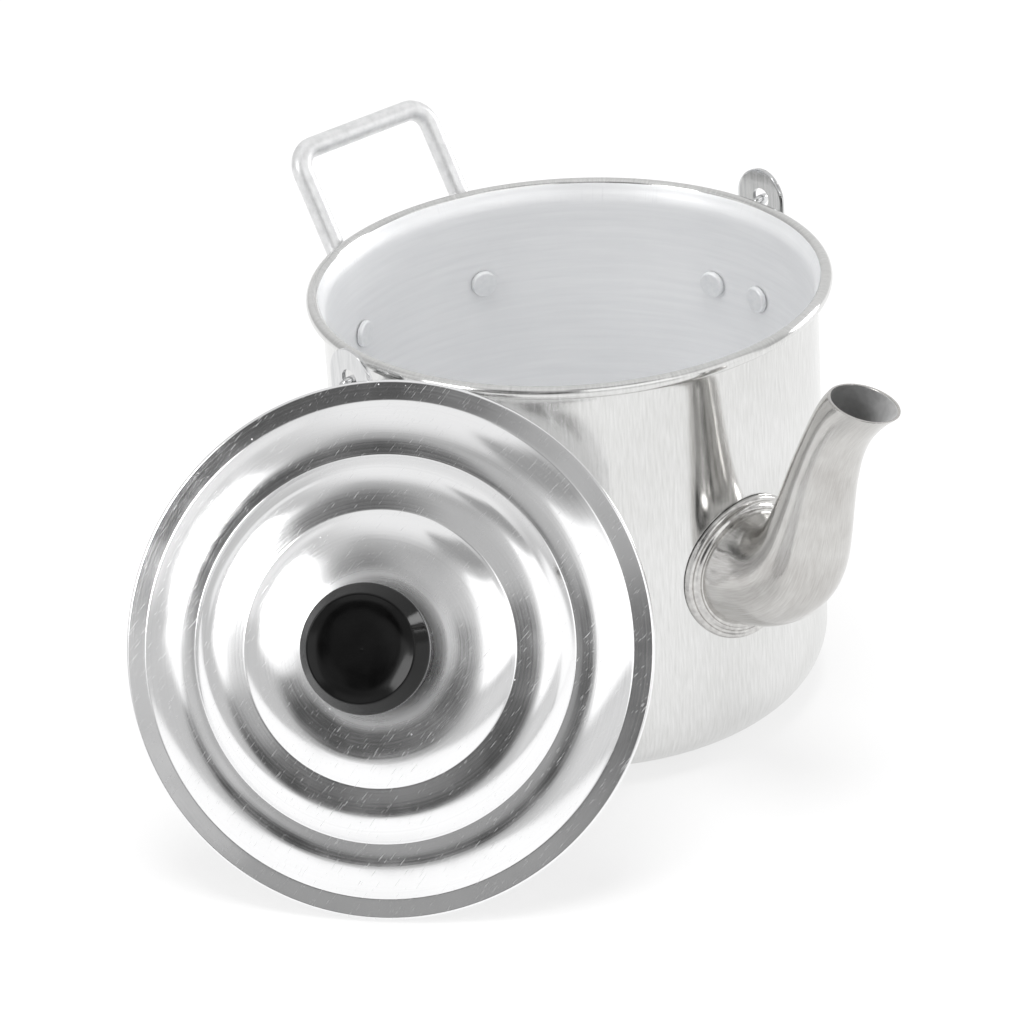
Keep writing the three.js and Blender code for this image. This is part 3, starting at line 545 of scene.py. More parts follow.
# Spout
# Drawn from sheet into a tapering swan neck with a full bend at the foot, then flared to a thin
# oval lip. Its foot lies on the round wall over the strainer.
spout_azimuth = strainer_azimuth
spout_height = strainer_height
spout_foot = 21.2 * mm
spout_reach = 59.8 * mm
spout_rise = 81.8 * mm
spout_sheet = 1.0 * mm
seat_gap = 0.3 * mm
spout_section_shares = [  # of the reach, the rise, a quarter turn, and the foot's depth and breadth
    (0.037, 0.0, 0.0, 0.965, 0.97),
    (0.114, 0.007, 0.06, 0.915, 0.92),
    (0.21, 0.023, 0.17, 0.88, 0.88),
    (0.312, 0.062, 0.34, 0.84, 0.85),
    (0.408, 0.126, 0.53, 0.795, 0.81),
    (0.484, 0.215, 0.68, 0.74, 0.755),
    (0.543, 0.328, 0.77, 0.675, 0.69),
    (0.601, 0.465, 0.8, 0.61, 0.62),
    (0.665, 0.61, 0.78, 0.55, 0.56),
    (0.745, 0.752, 0.74, 0.51, 0.51),
    (0.827, 0.862, 0.76, 0.52, 0.48),
    (0.917, 0.945, 0.84, 0.58, 0.465),
    (1.0, 1.0, 0.905, 0.65, 0.48),
]
spout_sides = 72
steps_between = 6
lip_curve = ((0.2, 0.26 * mm), (0.5, 0.36 * mm), (0.8, 0.26 * mm))  # share of the sheet, lift
spout_colours = (0.49, 0.475, 0.46), (0.65, 0.645, 0.63)
bore_colours = (0.54, 0.54, 0.54), (0.66, 0.66, 0.66)


def smoothed(rows, steps):
    """Rows of numbers with more rows between them on smooth curves through the given ones"""
    made = []
    for i in range(len(rows) - 1):
        before, start = rows[max(i - 1, 0)], rows[i]
        end, after = rows[i + 1], rows[min(i + 2, len(rows) - 1)]
        for k in range(steps):
            t = k / steps
            made.append(tuple(
                0.5 * (2 * b + (c - a) * t + (2 * a - 5 * b + 4 * c - d) * t * t
                       + (3 * b - a - 3 * c + d) * t ** 3)
                for a, b, c, d in zip(before, start, end, after)
            ))
    made.append(tuple(rows[-1]))
    return made


def wall_ring(radius, height, sides=spout_sides):
    """A round ring about the spout's axis, laid on the round wall at a height above it"""
    outer = wall_radius + seat_gap + height
    ring = []
    for k in range(sides):
        angle = 2 * pi * k / sides
        across = radius * cos(angle)
        ring.append(Vector((sqrt(outer ** 2 - across ** 2), across, spout_height + radius * sin(angle))))
    return ring


def neck_ring(shares, shrink):
    """A ring of the spout's neck, tilted as it goes, and drawn in for the bore"""
    out_share, up_share, turn_share, deep_share, broad_share = shares
    turn = turn_share * pi / 2
    deep = deep_share * spout_foot - shrink
    broad = broad_share * spout_foot - shrink
    ring = []
    for k in range(spout_sides):
        angle = 2 * pi * k / spout_sides
        rise = deep * sin(angle)
        ring.append(Vector((
            wall_radius + out_share * spout_reach - rise * sin(turn),
            broad * cos(angle),
            spout_height + up_share * spout_rise + rise * cos(turn),
        )))
    return ring


def skinned(name, rings, material, looped, turn=0.0):
    """Rings of equal count skinned one to the next; the UV map is metres round and along"""
    sides = len(rings[0])
    turner = Matrix.Rotation(turn, 3, "Z")
    vertices = [turner @ point for ring in rings for point in ring]
    faces, uv = [], []
    along = [0.0]
    for i in range(len(rings)):
        other = rings[(i + 1) % len(rings)]
        along.append(along[-1] + (other[0] - rings[i][0]).length)
    girth = max(sum((ring[k] - ring[k - 1]).length for k in range(sides)) for ring in rings)
    for i in range(len(rings) if looped else len(rings) - 1):
        here, there = i * sides, ((i + 1) % len(rings)) * sides
        for k in range(sides):
            other = (k + 1) % sides
            faces.append((here + k, here + other, there + other, there + k))
            left, right = girth * k / sides, girth * (k + 1) / sides
            uv += [(left, along[i]), (right, along[i]), (right, along[i + 1]), (left, along[i + 1])]
    if not looped:
        for start in (0, (len(rings) - 1) * sides):
            faces.append(tuple(range(start, start + sides)))
            uv += [(point.x, point.y) for point in vertices[start:start + sides]]
    return finished(name, vertices, faces, material, uv)


spout_metal, tree, shader = metal("polished_spout", (0.56, 0.55, 0.535), 0.15, 0.35)
soft = noise(tree, object_place(tree), 60, 3)
polish = total(tree, soft, grain(tree, sheet_place(tree), (1, 0.08, 1), 15, 1700))
roughened(shader, polish, (0.6, 1.4), (0.1, 0.19))
coloured(shader, polish, (0.7, 1.3), *spout_colours)
raised(shader, polish, 0.006 * mm)


def grained_metal(name, colour, roughness, scale, detail, rough, colours, depth=0, metallic=1,
                  between=(0.3, 0.7)):
    """A bare metal whose fine grain shows in its roughness, its colour and, with a depth, its relief"""
    material, tree, shader = metal(name, colour, roughness, metallic=metallic)
    grains = noise(tree, object_place(tree), scale, detail)
    roughened(shader, grains, (0.3, 0.7), rough)
    coloured(shader, grains, between, *colours)
    if depth:
        raised(shader, grains, depth)
    return material


spout_bore = grained_metal("drawn_bore", (0.72, 0.725, 0.73), 0.42, 420, 4, (0.34, 0.5), bore_colours,
                           depth=0.012 * mm, metallic=0.5)
fine_shares = smoothed(spout_section_shares, steps_between)
outside = [neck_ring(share, 0) for share in fine_shares]
inside = [neck_ring(share, spout_sheet) for share in fine_shares]
lip_way = (outside[-1][0] - outside[-2][0]).normalized()
lip = [
    [a.lerp(b, t) + lip_way * lift for a, b in zip(outside[-1], inside[-1])]
    for t, lift in lip_curve
]
spout_rings = [
    wall_ring(spout_foot, 0),
    wall_ring(spout_foot, spout_sheet),
    *outside, *lip, *reversed(inside),
    wall_ring(spout_foot - 2 * spout_sheet, 0),
]
spout = skinned("spout_tube", spout_rings, spout_metal, True, spout_azimuth)
spout.data.materials.append(spout_bore)
first_inner_ring = 2 + len(outside) + len(lip)
for number, side_face in enumerate(spout.data.polygons):
    if number // spout_sides >= first_inner_ring:
        side_face.material_index = 1
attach(spout, "pot")
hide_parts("spout")

# Spout collar
# A pressed ring curved to the wall, with rolled ridges, that locks the spout's foot down.
collar_width = 4.9 * mm
collar_height = 2.2 * mm
collar_sides = 160
collar_colours = (0.52, 0.51, 0.5), (0.68, 0.675, 0.66)
collar_shares = [  # of the width and of the height, round the section
    (-0.06, 0.0), (-0.09, 0.45), (-0.2, 0.86), (-0.12, 0.9), (-0.04, 0.84), (0.03, 0.86), (0.08, 0.95),
    (0.14, 1.0), (0.22, 0.97), (0.3, 0.86), (0.36, 0.68),
    (0.42, 0.58), (0.5, 0.56), (0.57, 0.62), (0.64, 0.76), (0.72, 0.82), (0.8, 0.79), (0.88, 0.66),
    (0.93, 0.5), (0.97, 0.36), (1.0, 0.2), (1.0, 0.0),
]
collar_metal = grained_metal("polished_collar", (0.6, 0.59, 0.575), 0.14, 400, 3, (0.12, 0.2),
                             collar_colours, depth=0.008 * mm, between=(0.35, 0.65))
collar_rings = [
    wall_ring(spout_foot + seat_gap + out_share * collar_width, high * collar_height, collar_sides)
    for out_share, high in collar_shares
]
collar = skinned("spout_ring", collar_rings, collar_metal, True, spout_azimuth)
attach(collar, "pot")
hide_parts("spout_collar")

# Ears
# Two stamped and polished plates, each riveted to the wall, stepped out past the rim and ending
# in a round tab with a punched eye for the bail.
ear_setback = 2 * mm
ear_sheet = 1.5 * mm
ear_tab = 11 * mm
ear_reach = 101.5 * mm
ear_eye_height = 154.8 * mm
ear_eye = 3.75 * mm
ear_plate_half = 19 * mm
ear_plate_drop = 9.5 * mm
ear_step_rise = 12 * mm
rivet_height = 122.8 * mm
ear_edge = 0.35 * mm
ear_edge_parts = 9  # the long edges are rounded over one part in this many of the half width
ear_columns = 28
eye_sides = 64
eye_punch_length = 12 * mm
ear_colours = (0.62, 0.625, 0.63), (0.72, 0.722, 0.725)
ear_metal, tree, shader = metal("polished_ear", (0.68, 0.68, 0.68), 0.12)
place = object_place(tree)
fine = grain(tree, place, (1, 1, 0.08), 0, 900)
broad = noise(tree, place, 90, 2)
roughened(shader, product(tree, fine, broad), (0.1, 0.45), (0.07, 0.24))
coloured(shader, fine, (0.35, 0.65), *ear_colours)
raised(shader, broad, 0.06 * mm, 0.5)


def smooth(value, low, high):
    """0 up to low, 1 from high on, and an even S between"""
    share = min(max((value - low) / (high - low), 0), 1)
    return share * share * (3 - 2 * share)


def ear_levels():
    """Heights up the ear with half its width there"""
    corner_cut = ear_plate_drop / 3
    foot, step_foot = rivet_height - ear_plate_drop, rivet_height + ear_plate_drop
    corner_rows, plate_rows, step_rows, neck_rows, tab_degrees = 8, 16, 24, 14, 3
    levels = []
    for i in range(corner_rows + 1):
        share = i / corner_rows
        levels.append((foot + share * corner_cut,
                       ear_plate_half - corner_cut * (1 - sqrt(1 - (1 - share) ** 2))))
    levels += [(foot + corner_cut + (step_foot - foot - corner_cut) * i / plate_rows, ear_plate_half)
               for i in range(1, plate_rows)]
    for i in range(step_rows + 1):
        share = i / step_rows
        levels.append((step_foot + share * ear_step_rise,
                       ear_plate_half + (ear_tab - ear_plate_half) * smooth(share, 0, 1)))
    top = step_foot + ear_step_rise
    levels += [(top + (ear_eye_height - top) * i / neck_rows, ear_tab) for i in range(1, neck_rows)]
    for lift in range(0, 90, tab_degrees):
        angle = radians(lift)
        levels.append((ear_eye_height + ear_tab * sin(angle), ear_tab * cos(angle)))
    return levels


def ear_plate(name, side):
    """One ear's plate, curved to the wall, and its turn about the pot"""
    step_foot = rivet_height + ear_plate_drop
    rings = []
    for height, half in ear_levels():
        step = smooth(height, step_foot, step_foot + ear_step_rise)
        inner = wall_radius + seat_gap + (ear_reach - ear_sheet / 2 - wall_radius - seat_gap) * step
        outer_row, inner_row = [], []
        for i in range(ear_columns + 1):
            share = 2 * i / ear_columns - 1
            into_edge = max(0, abs(share) * ear_edge_parts - (ear_edge_parts - 1))
            rounding = ear_edge * (1 - sqrt(max(0, 1 - into_edge ** 2)))
            across = half * share
            for row, radius, away in ((outer_row, inner + ear_sheet, -1), (inner_row, inner, 1)):
                reach = sqrt((radius + away * rounding) ** 2 - across ** 2)
                row.append(Vector((reach, across, height)))
        rings.append(outer_row + inner_row[::-1])
    turn = side * (pi / 2 + ear_setback / wall_radius)
    return skinned(name, rings, ear_metal, False, turn), turn


group, given, out = node_group("ear_eye", [
    ("Eye radius", "Float"), ("Eye place", "Vector"), ("Turn", "Float"), ("Sheet metal", "Material"),
])
punch = shape_node(group, "MeshCylinder", {
    "Vertices": eye_sides, "Radius": given["Eye radius"], "Depth": eye_punch_length,
})
lay = add_node(group, "CombineXYZ", {"Y": pi / 2, "Z": given["Turn"]})
punch = shape_node(group, "Transform", {
    "Geometry": punch.outputs["Mesh"], "Translation": given["Eye place"], "Rotation": lay,
})
holed = punched(group, given["Geometry"], punch)
fed(out.inputs[0], made_real(group, holed, given["Sheet metal"]))
for name, node, side in (("left_ear", "ear_left", 1), ("right_ear", "ear_right", -1)):
    ear, turn = ear_plate(name, side)
    grown(ear, group, {
        "Eye radius": ear_eye, "Turn": turn, "Sheet metal": ear_metal,
        "Eye place": (ear_reach * cos(turn), ear_reach * sin(turn), ear_eye_height),
    })
    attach(ear, "pot")
    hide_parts(node)

# Rivets
# Soft aluminium rivets: a flat head inside the pot, and a dome closed over the plate outside.
rivet_shank = 2.5 * mm
rivet_head = 4.85 * mm
rivet_head_thick = 1.7 * mm
rivet_dome = 4.4 * mm
rivet_dome_high = 2.1 * mm
rivet_dome_edge = 0.3 * mm
rivet_sides = 48
rivet_colours = (0.83, 0.84, 0.85), (0.9, 0.905, 0.91)
ear_rivet_angle = 7.45
handle_rivet_angle = 20
handle_turn = -1.4
paddle_thick = 3 * mm
rivet_metal = grained_metal("rivet_aluminium", (0.88, 0.885, 0.89), 0.42, 520, 3, (0.36, 0.48),
                            rivet_colours, depth=0.02 * mm, metallic=0.6)


def rivet_profile(plate_outer):
    """A rivet's section from its head inside the pot to its dome over the plate"""
    back = wall_radius - wall_sheet - 2 * seat_gap
    face = back - rivet_head_thick
    edge = rivet_head_thick * 0.45
    dome_foot = plate_outer + seat_gap
    return [
        (0, face + 0.12 * mm),
        (rivet_head * 0.45, face + 0.08 * mm),
        (rivet_head - edge * 1.5, face),
        *arc((rivet_head - edge, face + edge), edge, -90, 0, 6),
        (rivet_head, back),
        (rivet_shank, back),
        (rivet_shank, dome_foot),
        (rivet_dome, dome_foot),
        *[(rivet_dome * cos(radians(a)), dome_foot + rivet_dome_edge
           + (rivet_dome_high - rivet_dome_edge) * sin(radians(a))) for a in range(0, 90, 10)],
        (0, dome_foot + rivet_dome_high),
    ]


group, given, out = node_group("rivets_round_the_wall", [
    ("Rivet", "Object"), ("Height", "Float"), ("Metal", "Material"),
])
rivet_shape = shape_node(group, "ObjectInfo", {"Object": given["Rivet"]})
azimuth = shape_node(group, "InputNamedAttribute", {"Name": "azimuth"}, data_type="FLOAT")
lay = add_node(group, "CombineXYZ", {"Y": pi / 2, "Z": azimuth.outputs["Attribute"]})
laid = shape_node(group, "InstanceOnPoints", {
    "Points": given["Geometry"], "Instance": rivet_shape.outputs["Geometry"], "Rotation": lay,
})
lift = add_node(group, "CombineXYZ", {"Z": given["Height"]})
lifted = shape_node(group, "Transform", {"Geometry": laid, "Translation": lift})
fed(out.inputs[0], made_real(group, lifted, given["Metal"]))
setback_angle = degrees(ear_setback / wall_radius)
for name, plate_outer, nodes_and_azimuths in (
    ("ear_rivets", wall_radius + seat_gap + ear_sheet, {
        "ear_rivet_left_front": 90 + setback_angle - ear_rivet_angle,
        "ear_rivet_left_back": 90 + setback_angle + ear_rivet_angle,
        "ear_rivet_right_front": -90 - setback_angle + ear_rivet_angle,
        "ear_rivet_right_back": -90 - setback_angle - ear_rivet_angle,
    }),
    ("handle_rivets", wall_radius + seat_gap + paddle_thick, {
        "handle_rivet_left": 180 + handle_turn - handle_rivet_angle,
        "handle_rivet_right": 180 + handle_turn + handle_rivet_angle,
    }),
):
    pattern = turned("rivet_pattern", rivet_profile(plate_outer), rivet_metal, rivet_sides)
    places = plain_mesh(name, [(0, 0, 0)] * len(nodes_and_azimuths))
    turns = places.attributes.new("azimuth", "FLOAT", "POINT")
    turns.data.foreach_set("value", [radians(a) for a in nodes_and_azimuths.values()])
    rivets = placed(name, places)
    grown(rivets, group, {"Rivet": pattern, "Height": rivet_height, "Metal": rivet_metal})
    bpy.data.objects.remove(pattern)
    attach(rivets, "pot")
    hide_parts(*nodes_and_azimuths)

# Side handle
# One aluminium rod bent to a square bow, its ends hammered flat to paddles and riveted to the wall.
rod_radius = 3.75 * mm
handle_top = 185.86 * mm
handle_standoff = 110.86 * mm
bend_radius = 8 * mm
paddle_half = 7.2 * mm
paddle_drop = 9 * mm
paddle_rise = 8.5 * mm
paddle_blend = 28 * mm
paddle_squareness = 0.5
rod_sides = 36
rod_colours = (0.71, 0.713, 0.716), (0.8, 0.802, 0.805)
rod_metal, tree, shader = metal("tumbled_rod", (0.76, 0.762, 0.765), 0.42, metallic=0.75)
place = object_place(tree)
pits = noise(tree, place, 330, 5)
rubs = noise(tree, place, 60, 2)
roughened(shader, rubs, (0.3, 0.7), (0.36, 0.5))
coloured(shader, pits, (0.35, 0.6), *rod_colours)
raised(shader, pits, 0.08 * mm)


def handle_stations():
    """Half of the rod, foot to middle: each place with its way, flatness and half breadth"""
    azimuth = radians(180 - handle_rivet_angle)
    outwards = Vector((cos(azimuth), sin(azimuth), 0))
    foot = outwards * (wall_radius + seat_gap + paddle_thick / 2)
    up, bar_way = Vector((0, 0, 1)), Vector((0, -1, 0))
    flat_top = rivet_height + paddle_rise
    kink_share = 1 / 3

    def over_foot(height):
        return Vector((foot.x, foot.y, height))

    kink = over_foot(flat_top + kink_share * paddle_blend)
    corner_point = Vector((-handle_standoff, foot.y, handle_top))
    leg_way = (corner_point - kink).normalized()
    end = rivet_height - paddle_drop
    end_shares = (0.01, 0.03, 0.07, 0.14, 0.25, 0.4, 0.6, 0.8, 1)
    paddle_rows, blend_rows, leg_rows, bend_rows, bar_rows = 8, 24, 10, 20, 10
    stations = []
    for share in end_shares:
        half = paddle_half * sqrt(1 - (1 - share) ** 2)
        stations.append((over_foot(end + paddle_half * share), up, 1, half))
    for i in range(1, paddle_rows + 1):
        height = end + paddle_half + (flat_top - end - paddle_half) * i / paddle_rows
        stations.append((over_foot(height), up, 1, paddle_half))
    for i in range(1, blend_rows + 1):
        share = i / blend_rows
        way = up.lerp(leg_way, smooth(share, 0.12, 0.6)).normalized()
        if share < kink_share:
            point = over_foot(flat_top + share * paddle_blend)
        else:
            point = kink + leg_way * ((share - kink_share) * paddle_blend)
        stations.append((point, way, 1 - smooth(share, kink_share, 1), paddle_half))
    leg_start = stations[-1][0]
    bend_start = corner_point - leg_way * bend_radius
    for i in range(1, leg_rows):
        stations.append((leg_start.lerp(bend_start, i / leg_rows), leg_way, 0, paddle_half))
    bend_centre = bend_start + bar_way * bend_radius
    for i in range(bend_rows + 1):
        angle = pi / 2 * i / bend_rows
        back, on = bend_radius * cos(angle), bend_radius * sin(angle)
        way = leg_way * cos(angle) + bar_way * sin(angle)
        stations.append((bend_centre - bar_way * back + leg_way * on, way, 0, paddle_half))
    bar_start = bend_centre + leg_way * bend_radius
    middle = Vector((corner_point.x, 0, corner_point.z))
    for i in range(1, bar_rows + 1):
        stations.append((bar_start.lerp(middle, i / bar_rows), bar_way, 0, paddle_half))
    return outwards, stations


def handle_rings():
    """Rings round the whole rod, which are flat at the paddles and round elsewhere"""
    outwards, stations = handle_stations()
    rings = []
    for point, way, flat, breadth in stations:
        side = outwards.cross(way).normalized()
        thick = way.cross(side).normalized()
        wide = rod_radius + (breadth - rod_radius) * flat
        thin = rod_radius + (paddle_thick / 2 - rod_radius) * flat
        fullness = 1 + (paddle_squareness - 1) * flat
        ring = []
        for k in range(rod_sides):
            c, s = cos(2 * pi * k / rod_sides), sin(2 * pi * k / rod_sides)
            across = copysign(abs(c) ** fullness, c)
            through = copysign(abs(s) ** fullness, s)
            ring.append(point + side * (wide * across) + thick * (thin * through))
        rings.append(ring)
    mirrored = [[Vector((p.x, -p.y, p.z)) for p in ring] for ring in reversed(rings[:-1])]
    return rings + mirrored


handle = skinned("rod_handle", handle_rings(), rod_metal, False, radians(handle_turn))
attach(handle, "pot")
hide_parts("side_handle")

# Bail
# One bright steel wire bent to a bow; each end goes in through an ear's eye and turns back inside.
wire_radius = 1.42 * mm
bail_straight = 23 * mm
bail_gap_outside = 0.4 * mm
bail_gap_inside = 0.9 * mm
bail_tail = 7 * mm
tail_rows = 4
arm_rows = 8
hook_degrees = 10
bow_degrees = 2
wire_sides = 24
wire_colours = (0.66, 0.665, 0.67), (0.78, 0.785, 0.79)
arm_reach = ear_reach + ear_sheet / 2 + bail_gap_outside + wire_radius
tail_reach = ear_reach - ear_sheet / 2 - bail_gap_inside - wire_radius
bail_length = bail_straight + arm_reach
bail_hang = acos((wall_radius + seat_gap + wire_radius - ear_setback) / bail_length)
hook_radius = (arm_reach - tail_reach) / 2
hook_middle = (arm_reach + tail_reach) / 2
bail_line = [(hook_radius + bail_tail * (1 - i / tail_rows), tail_reach) for i in range(tail_rows)]
for bearing in range(-90, 91, hook_degrees):
    angle = radians(bearing)
    bail_line.append((hook_radius - hook_radius * cos(angle), hook_middle + hook_radius * sin(angle)))
bail_line += [(bail_straight * i / arm_rows, arm_reach) for i in range(2, arm_rows)]
for bearing in range(90, -1, -bow_degrees):
    angle = radians(bearing)
    bail_line.append((bail_straight + arm_reach * cos(angle), arm_reach * sin(angle)))
hang_way = Vector((-cos(bail_hang), 0, -sin(bail_hang)))
half_line = [
    Vector((-ear_setback, 0, ear_eye_height)) + hang_way * along + Vector((0, across, 0))
    for along, across in bail_line
]
bail_path = half_line + [Vector((p.x, -p.y, p.z)) for p in reversed(half_line[:-1])]
wire_metal = grained_metal("bright_wire", (0.74, 0.745, 0.75), 0.17, 700, 3, (0.1, 0.26), wire_colours,
                           depth=0.02 * mm)
bail = placed("bail", plain_mesh("bail", bail_path, [(i, i + 1) for i in range(len(bail_path) - 1)]))
group, given, out = node_group("wire_along_a_path", [
    ("Wire radius", "Float"), ("Sides", "Int"), ("Metal", "Material"),
])
path = shape_node(group, "MeshToCurve", {"Mesh": given["Geometry"]})
section = shape_node(group, "CurvePrimitiveCircle", {
    "Resolution": given["Sides"], "Radius": given["Wire radius"],
})
swept = shape_node(group, "CurveToMesh", {
    "Curve": path, "Profile Curve": section, "Fill Caps": True,
})
smooth_wire = shape_node(group, "SetShadeSmooth", {"Geometry": swept})
fed(out.inputs[0], made_real(group, smooth_wire, given["Metal"]))
grown(bail, group, {"Wire radius": wire_radius, "Sides": wire_sides, "Metal": wire_metal})
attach(bail, "bail")
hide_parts("bail_wire")

# Lid
# Spun in one sheet in three convex steps and mirror polished on the lathe, with a rolled edge and
# a folded ring below that drops inside the pot's mouth.
lid_radius = 90.81 * mm
lid_sheet = 0.9 * mm
lid_roll = 1.0 * mm
lid_skirt = 85.8 * mm
lid_skirt_depth = 4 * mm
lid_hole = 2.7 * mm
lid_band_rise = 0.4 * mm
lid_steps = [  # shares of the radius at the step's foot and top, how evenly it climbs, its bend, rise
    (0.922, 0.717, 0.0, 2.1, 5.0 * mm),
    (0.717, 0.51, 0.325, 4.9, 7.5 * mm),
    (0.51, 0.26, 0.6, 4.6, 6.0 * mm),
]
lid_facing = compass(-53.7, 28.72)
lid_centre = Vector((44.351, -133.686, 80.140)) * mm
lid_lean = Vector((0, 0, 1)).rotation_difference(lid_facing).to_matrix().to_4x4()
lid_place = Matrix.Translation(lid_centre) @ lid_lean
lid_sides = 256
step_rows = 24
crease_radius = 0.6 * mm
lid_colours = (0.89, 0.89, 0.895), (0.95, 0.95, 0.955)
lid_scratches = (  # turn in degrees, scale, and the noise above which a scratch shows
    (33, 2600, 0.68), (78, 2300, 0.69), (139, 2900, 0.67), (104, 1900, 0.7),
)
scratch_roughness = 0.28
dust_roughness = 0.5
scuff_roughness = 0.16
scuffed_from = 25.5 * mm
scuffed_to = 28.5 * mm


def lid_face():
    """The outside of the lid from its edge band to the knob's seat; a step climbs fast, then eases"""
    face = []
    height = lid_roll + lid_band_rise
    for foot_share, crease_share, even_share, bend, rise in lid_steps:
        foot, crease = foot_share * lid_radius, crease_share * lid_radius
        for i in range(1 if face else 0, step_rows + 1):
            s = i / step_rows
            climb = rise * (1 - (1 - s) ** bend) * (1 - even_share) + rise * s * even_share
            face.append((foot + (crease - foot) * s, height + climb))
        height += rise
    return face


def softened(profile, radius):
    """Cuts each sharp turn of a profile with a small curve"""
    nearly_straight, longest_cut, curve_steps = radians(166), 0.45, 6
    made = [profile[0]]
    for before, here, after in zip(profile, profile[1:], profile[2:]):
        back, ahead = Vector(before) - Vector(here), Vector(after) - Vector(here)
        if back.length < 1e-9 or ahead.length < 1e-9 or back.angle(ahead) > nearly_straight:
            made.append(here)
            continue
        reach = min(radius, longest_cut * back.length, longest_cut * ahead.length)
        start, end = Vector(here) + back.normalized() * reach, Vector(here) + ahead.normalized() * reach
        for i in range(curve_steps + 1):
            t = i / curve_steps
            made.append(tuple(start * (1 - t) ** 2 + Vector(here) * 2 * t * (1 - t) + end * t ** 2))
    made.append(profile[-1])
    return made


lid_metal, tree, shader = metal("mirror_aluminium", (0.93, 0.93, 0.935), 0.09, 0.7)
laid = add_node(tree, "Mapping", {
    "Vector": object_place(tree), "Location": lid_place.inverted().translation,
    "Rotation": lid_place.inverted().to_euler(),
})
parts = add_node(tree, "SeparateXYZ", {0: laid}).outputs
face_place = add_node(tree, "CombineXYZ", {"X": parts["X"], "Y": parts["Y"]})
from_middle = vector_maths(tree, "LENGTH", face_place)
rings_place = add_node(tree, "CombineXYZ", {"X": from_middle})
lathe_rings = noise(tree, rings_place, 1500, 3, 0.7)
haze = noise(tree, face_place, 45, 4)
scratched = 0.0
for turn, scale, rarity in lid_scratches:
    lines = grain(tree, face_place, (1, 0.05, 1), turn, scale)
    scratched = maths(tree, "MAXIMUM", scratched, ranged(tree, lines, rarity, rarity + 0.04, 0, 1))
cells = add_node(tree, "TexVoronoi", {"Vector": face_place, "Scale": 260})
chance = add_node(tree, "SeparateColor", {0: cells.outputs["Color"]})
speck_size = ranged(tree, chance, 0.9, 1.0, 0.0, 0.085)
dust = maths(tree, "LESS_THAN", cells.outputs["Distance"], speck_size)
marked = total(tree, product(tree, scratched, scratch_roughness), product(tree, dust, dust_roughness))
scuffed = ranged(tree, from_middle, scuffed_to, scuffed_from, 0, scuff_roughness)
worn = ranged(tree, total(tree, lathe_rings, haze), 0.7, 1.3, 0.06, 0.2)
worn = total(tree, worn, scuffed)
fed(shader.inputs["Roughness"], total(tree, worn, marked))
fed(shader.inputs["Metallic"], ranged(tree, dust, 0, 1, 1, 0))
coloured(shader, lathe_rings, (0.3, 0.7), *lid_colours)
raised(shader, lathe_rings, 0.006 * mm)

skirt_inner = lid_skirt - 2 * lid_sheet
lid_outside = lid_face()
lid_inside = [(r - lid_sheet / 2, z - lid_sheet) for r, z in reversed(lid_outside)]
knob_seat = lid_outside[-1][1]
lid_profile = [
    *arc((lid_radius - lid_roll, 0), lid_roll, 0, 90, 10),
    *straight((lid_radius - lid_roll, lid_roll), lid_outside[0], 5),
    *lid_outside,
    *straight(lid_outside[-1], (lid_hole, knob_seat), 6),
    (lid_hole, knob_seat),
    (lid_hole, knob_seat - lid_sheet),
    *[point for point in lid_inside if point[0] < skirt_inner - lid_sheet],
    (skirt_inner - lid_sheet / 2, lid_roll - lid_sheet + lid_band_rise + lid_steps[0][4] / 8),
    (skirt_inner, lid_roll - lid_skirt_depth),
    (lid_skirt, lid_roll - lid_skirt_depth),
    (lid_skirt, lid_roll - lid_sheet),
    *arc((lid_radius - lid_roll, 0), lid_roll, 150, 352, 18),
]
lid = turned("spun_lid", softened(lid_profile, crease_radius), lid_metal, lid_sides, lid_place)
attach(lid, "lid")
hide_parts("lid_shell")

# Knob
# Black thermoset moulding with a waisted stem, a bevelled grip and a dished top, buffed to a gloss.
knob_radius = 21.9 * mm
knob_top_radius = 17.9 * mm
knob_height = 23.7 * mm
knob_stem = 11.5 * mm
knob_band = 2.4 * mm
knob_dish = 1.7 * mm
knob_edge = 0.5 * mm
knob_sides = 128
dish_rows = 14
dish_power = 4  # the dish falls away fast at its rim and is nearly flat in the middle
knob_gloss = 0.24
knob_colours = (0.002, 0.002, 0.002), (0.004, 0.004, 0.004)
insert_radius = 4.5 * mm
insert_length = 11 * mm
knob_foot = knob_seat + seat_gap
knob_top = knob_foot + knob_height
band_top = knob_top - (knob_radius - knob_top_radius) * sqrt(2) - knob_dish / 2
band_foot = band_top - knob_band
pocket_radius = insert_radius + seat_gap
pocket_top = knob_foot + insert_length + 2 * seat_gap
stem_flare = knob_stem / 8
waist = knob_foot + (band_foot - knob_foot) / 2
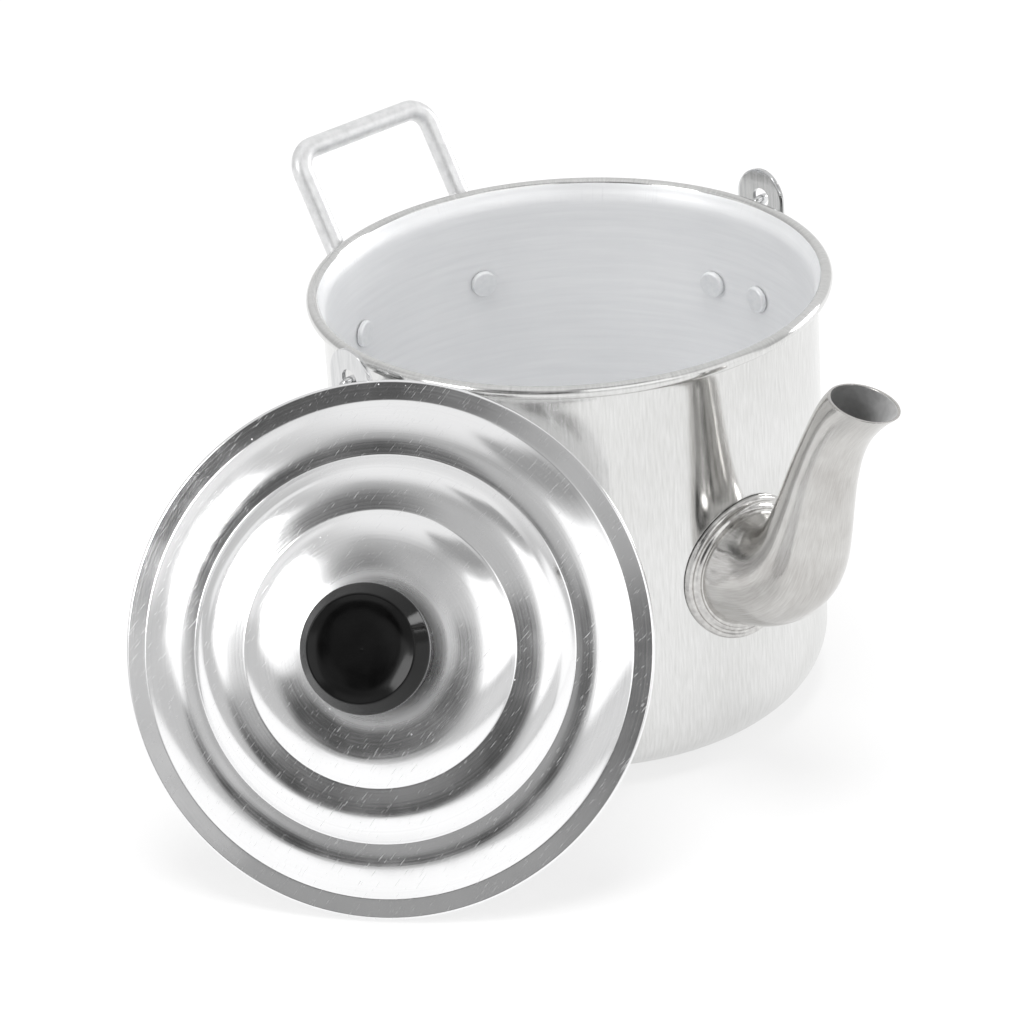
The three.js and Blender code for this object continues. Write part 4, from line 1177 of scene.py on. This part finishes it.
knob_plastic, tree = new_material("black_thermoset")
shader = tree.nodes["Principled BSDF"]
shader.inputs["Specular IOR Level"].default_value = knob_gloss
place = object_place(tree)
flow = noise(tree, place, 160, 4)
rub = grain(tree, place, (1, 0.1, 0.4), 35, 900)
coloured(shader, flow, (0.35, 0.7), *knob_colours)
roughened(shader, total(tree, flow, rub), (0.6, 1.4), (0.08, 0.16))
raised(shader, flow, 0.01 * mm)
knob_profile = [
    (pocket_radius, knob_foot),
    (knob_stem + stem_flare, knob_foot),
    (knob_stem, knob_foot + stem_flare),
    *straight((knob_stem, knob_foot + stem_flare), (knob_stem, waist), 5),
    *arc((knob_radius - stem_flare, waist), knob_radius - stem_flare - knob_stem, 180, 112.5, 12),
    (knob_radius, band_foot),
    (knob_radius, band_top),
    *straight((knob_radius, band_top), (knob_top_radius + knob_dish / 4, knob_top - knob_dish / 8), 5),
    (knob_top_radius + knob_dish / 4, knob_top - knob_dish / 8),
    (knob_top_radius, knob_top),
    *[(knob_top_radius * (1 - i / dish_rows), knob_top - knob_dish * (1 - (1 - i / dish_rows) ** dish_power))
      for i in range(1, dish_rows)],
    (0, knob_top - knob_dish),
    (0, pocket_top),
    (pocket_radius, pocket_top),
]
knob = turned("moulded_knob", softened(knob_profile, knob_edge), knob_plastic, knob_sides, lid_place)
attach(knob, "lid")
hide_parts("knob")

# Knob fixing
# A slotted screw from inside the lid, through a steel washer and the sheet, into a brass insert.
plated_colours = (0.55, 0.555, 0.56), (0.68, 0.685, 0.69)
brass_colours = (0.66, 0.5, 0.25), (0.76, 0.59, 0.32)
screw_steel = grained_metal("zinc_plated_steel", (0.62, 0.625, 0.63), 0.3, 800, 3, (0.22, 0.4),
                            plated_colours)
insert_brass = grained_metal("turned_brass", (0.72, 0.55, 0.28), 0.3, 900, 3, (0.24, 0.4), brass_colours)
for node, material in (
    ("knob_insert", insert_brass), ("knob_washer", screw_steel), ("knob_screw", screw_steel),
):
    for material_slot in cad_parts[node].material_slots:
        material_slot.material = material
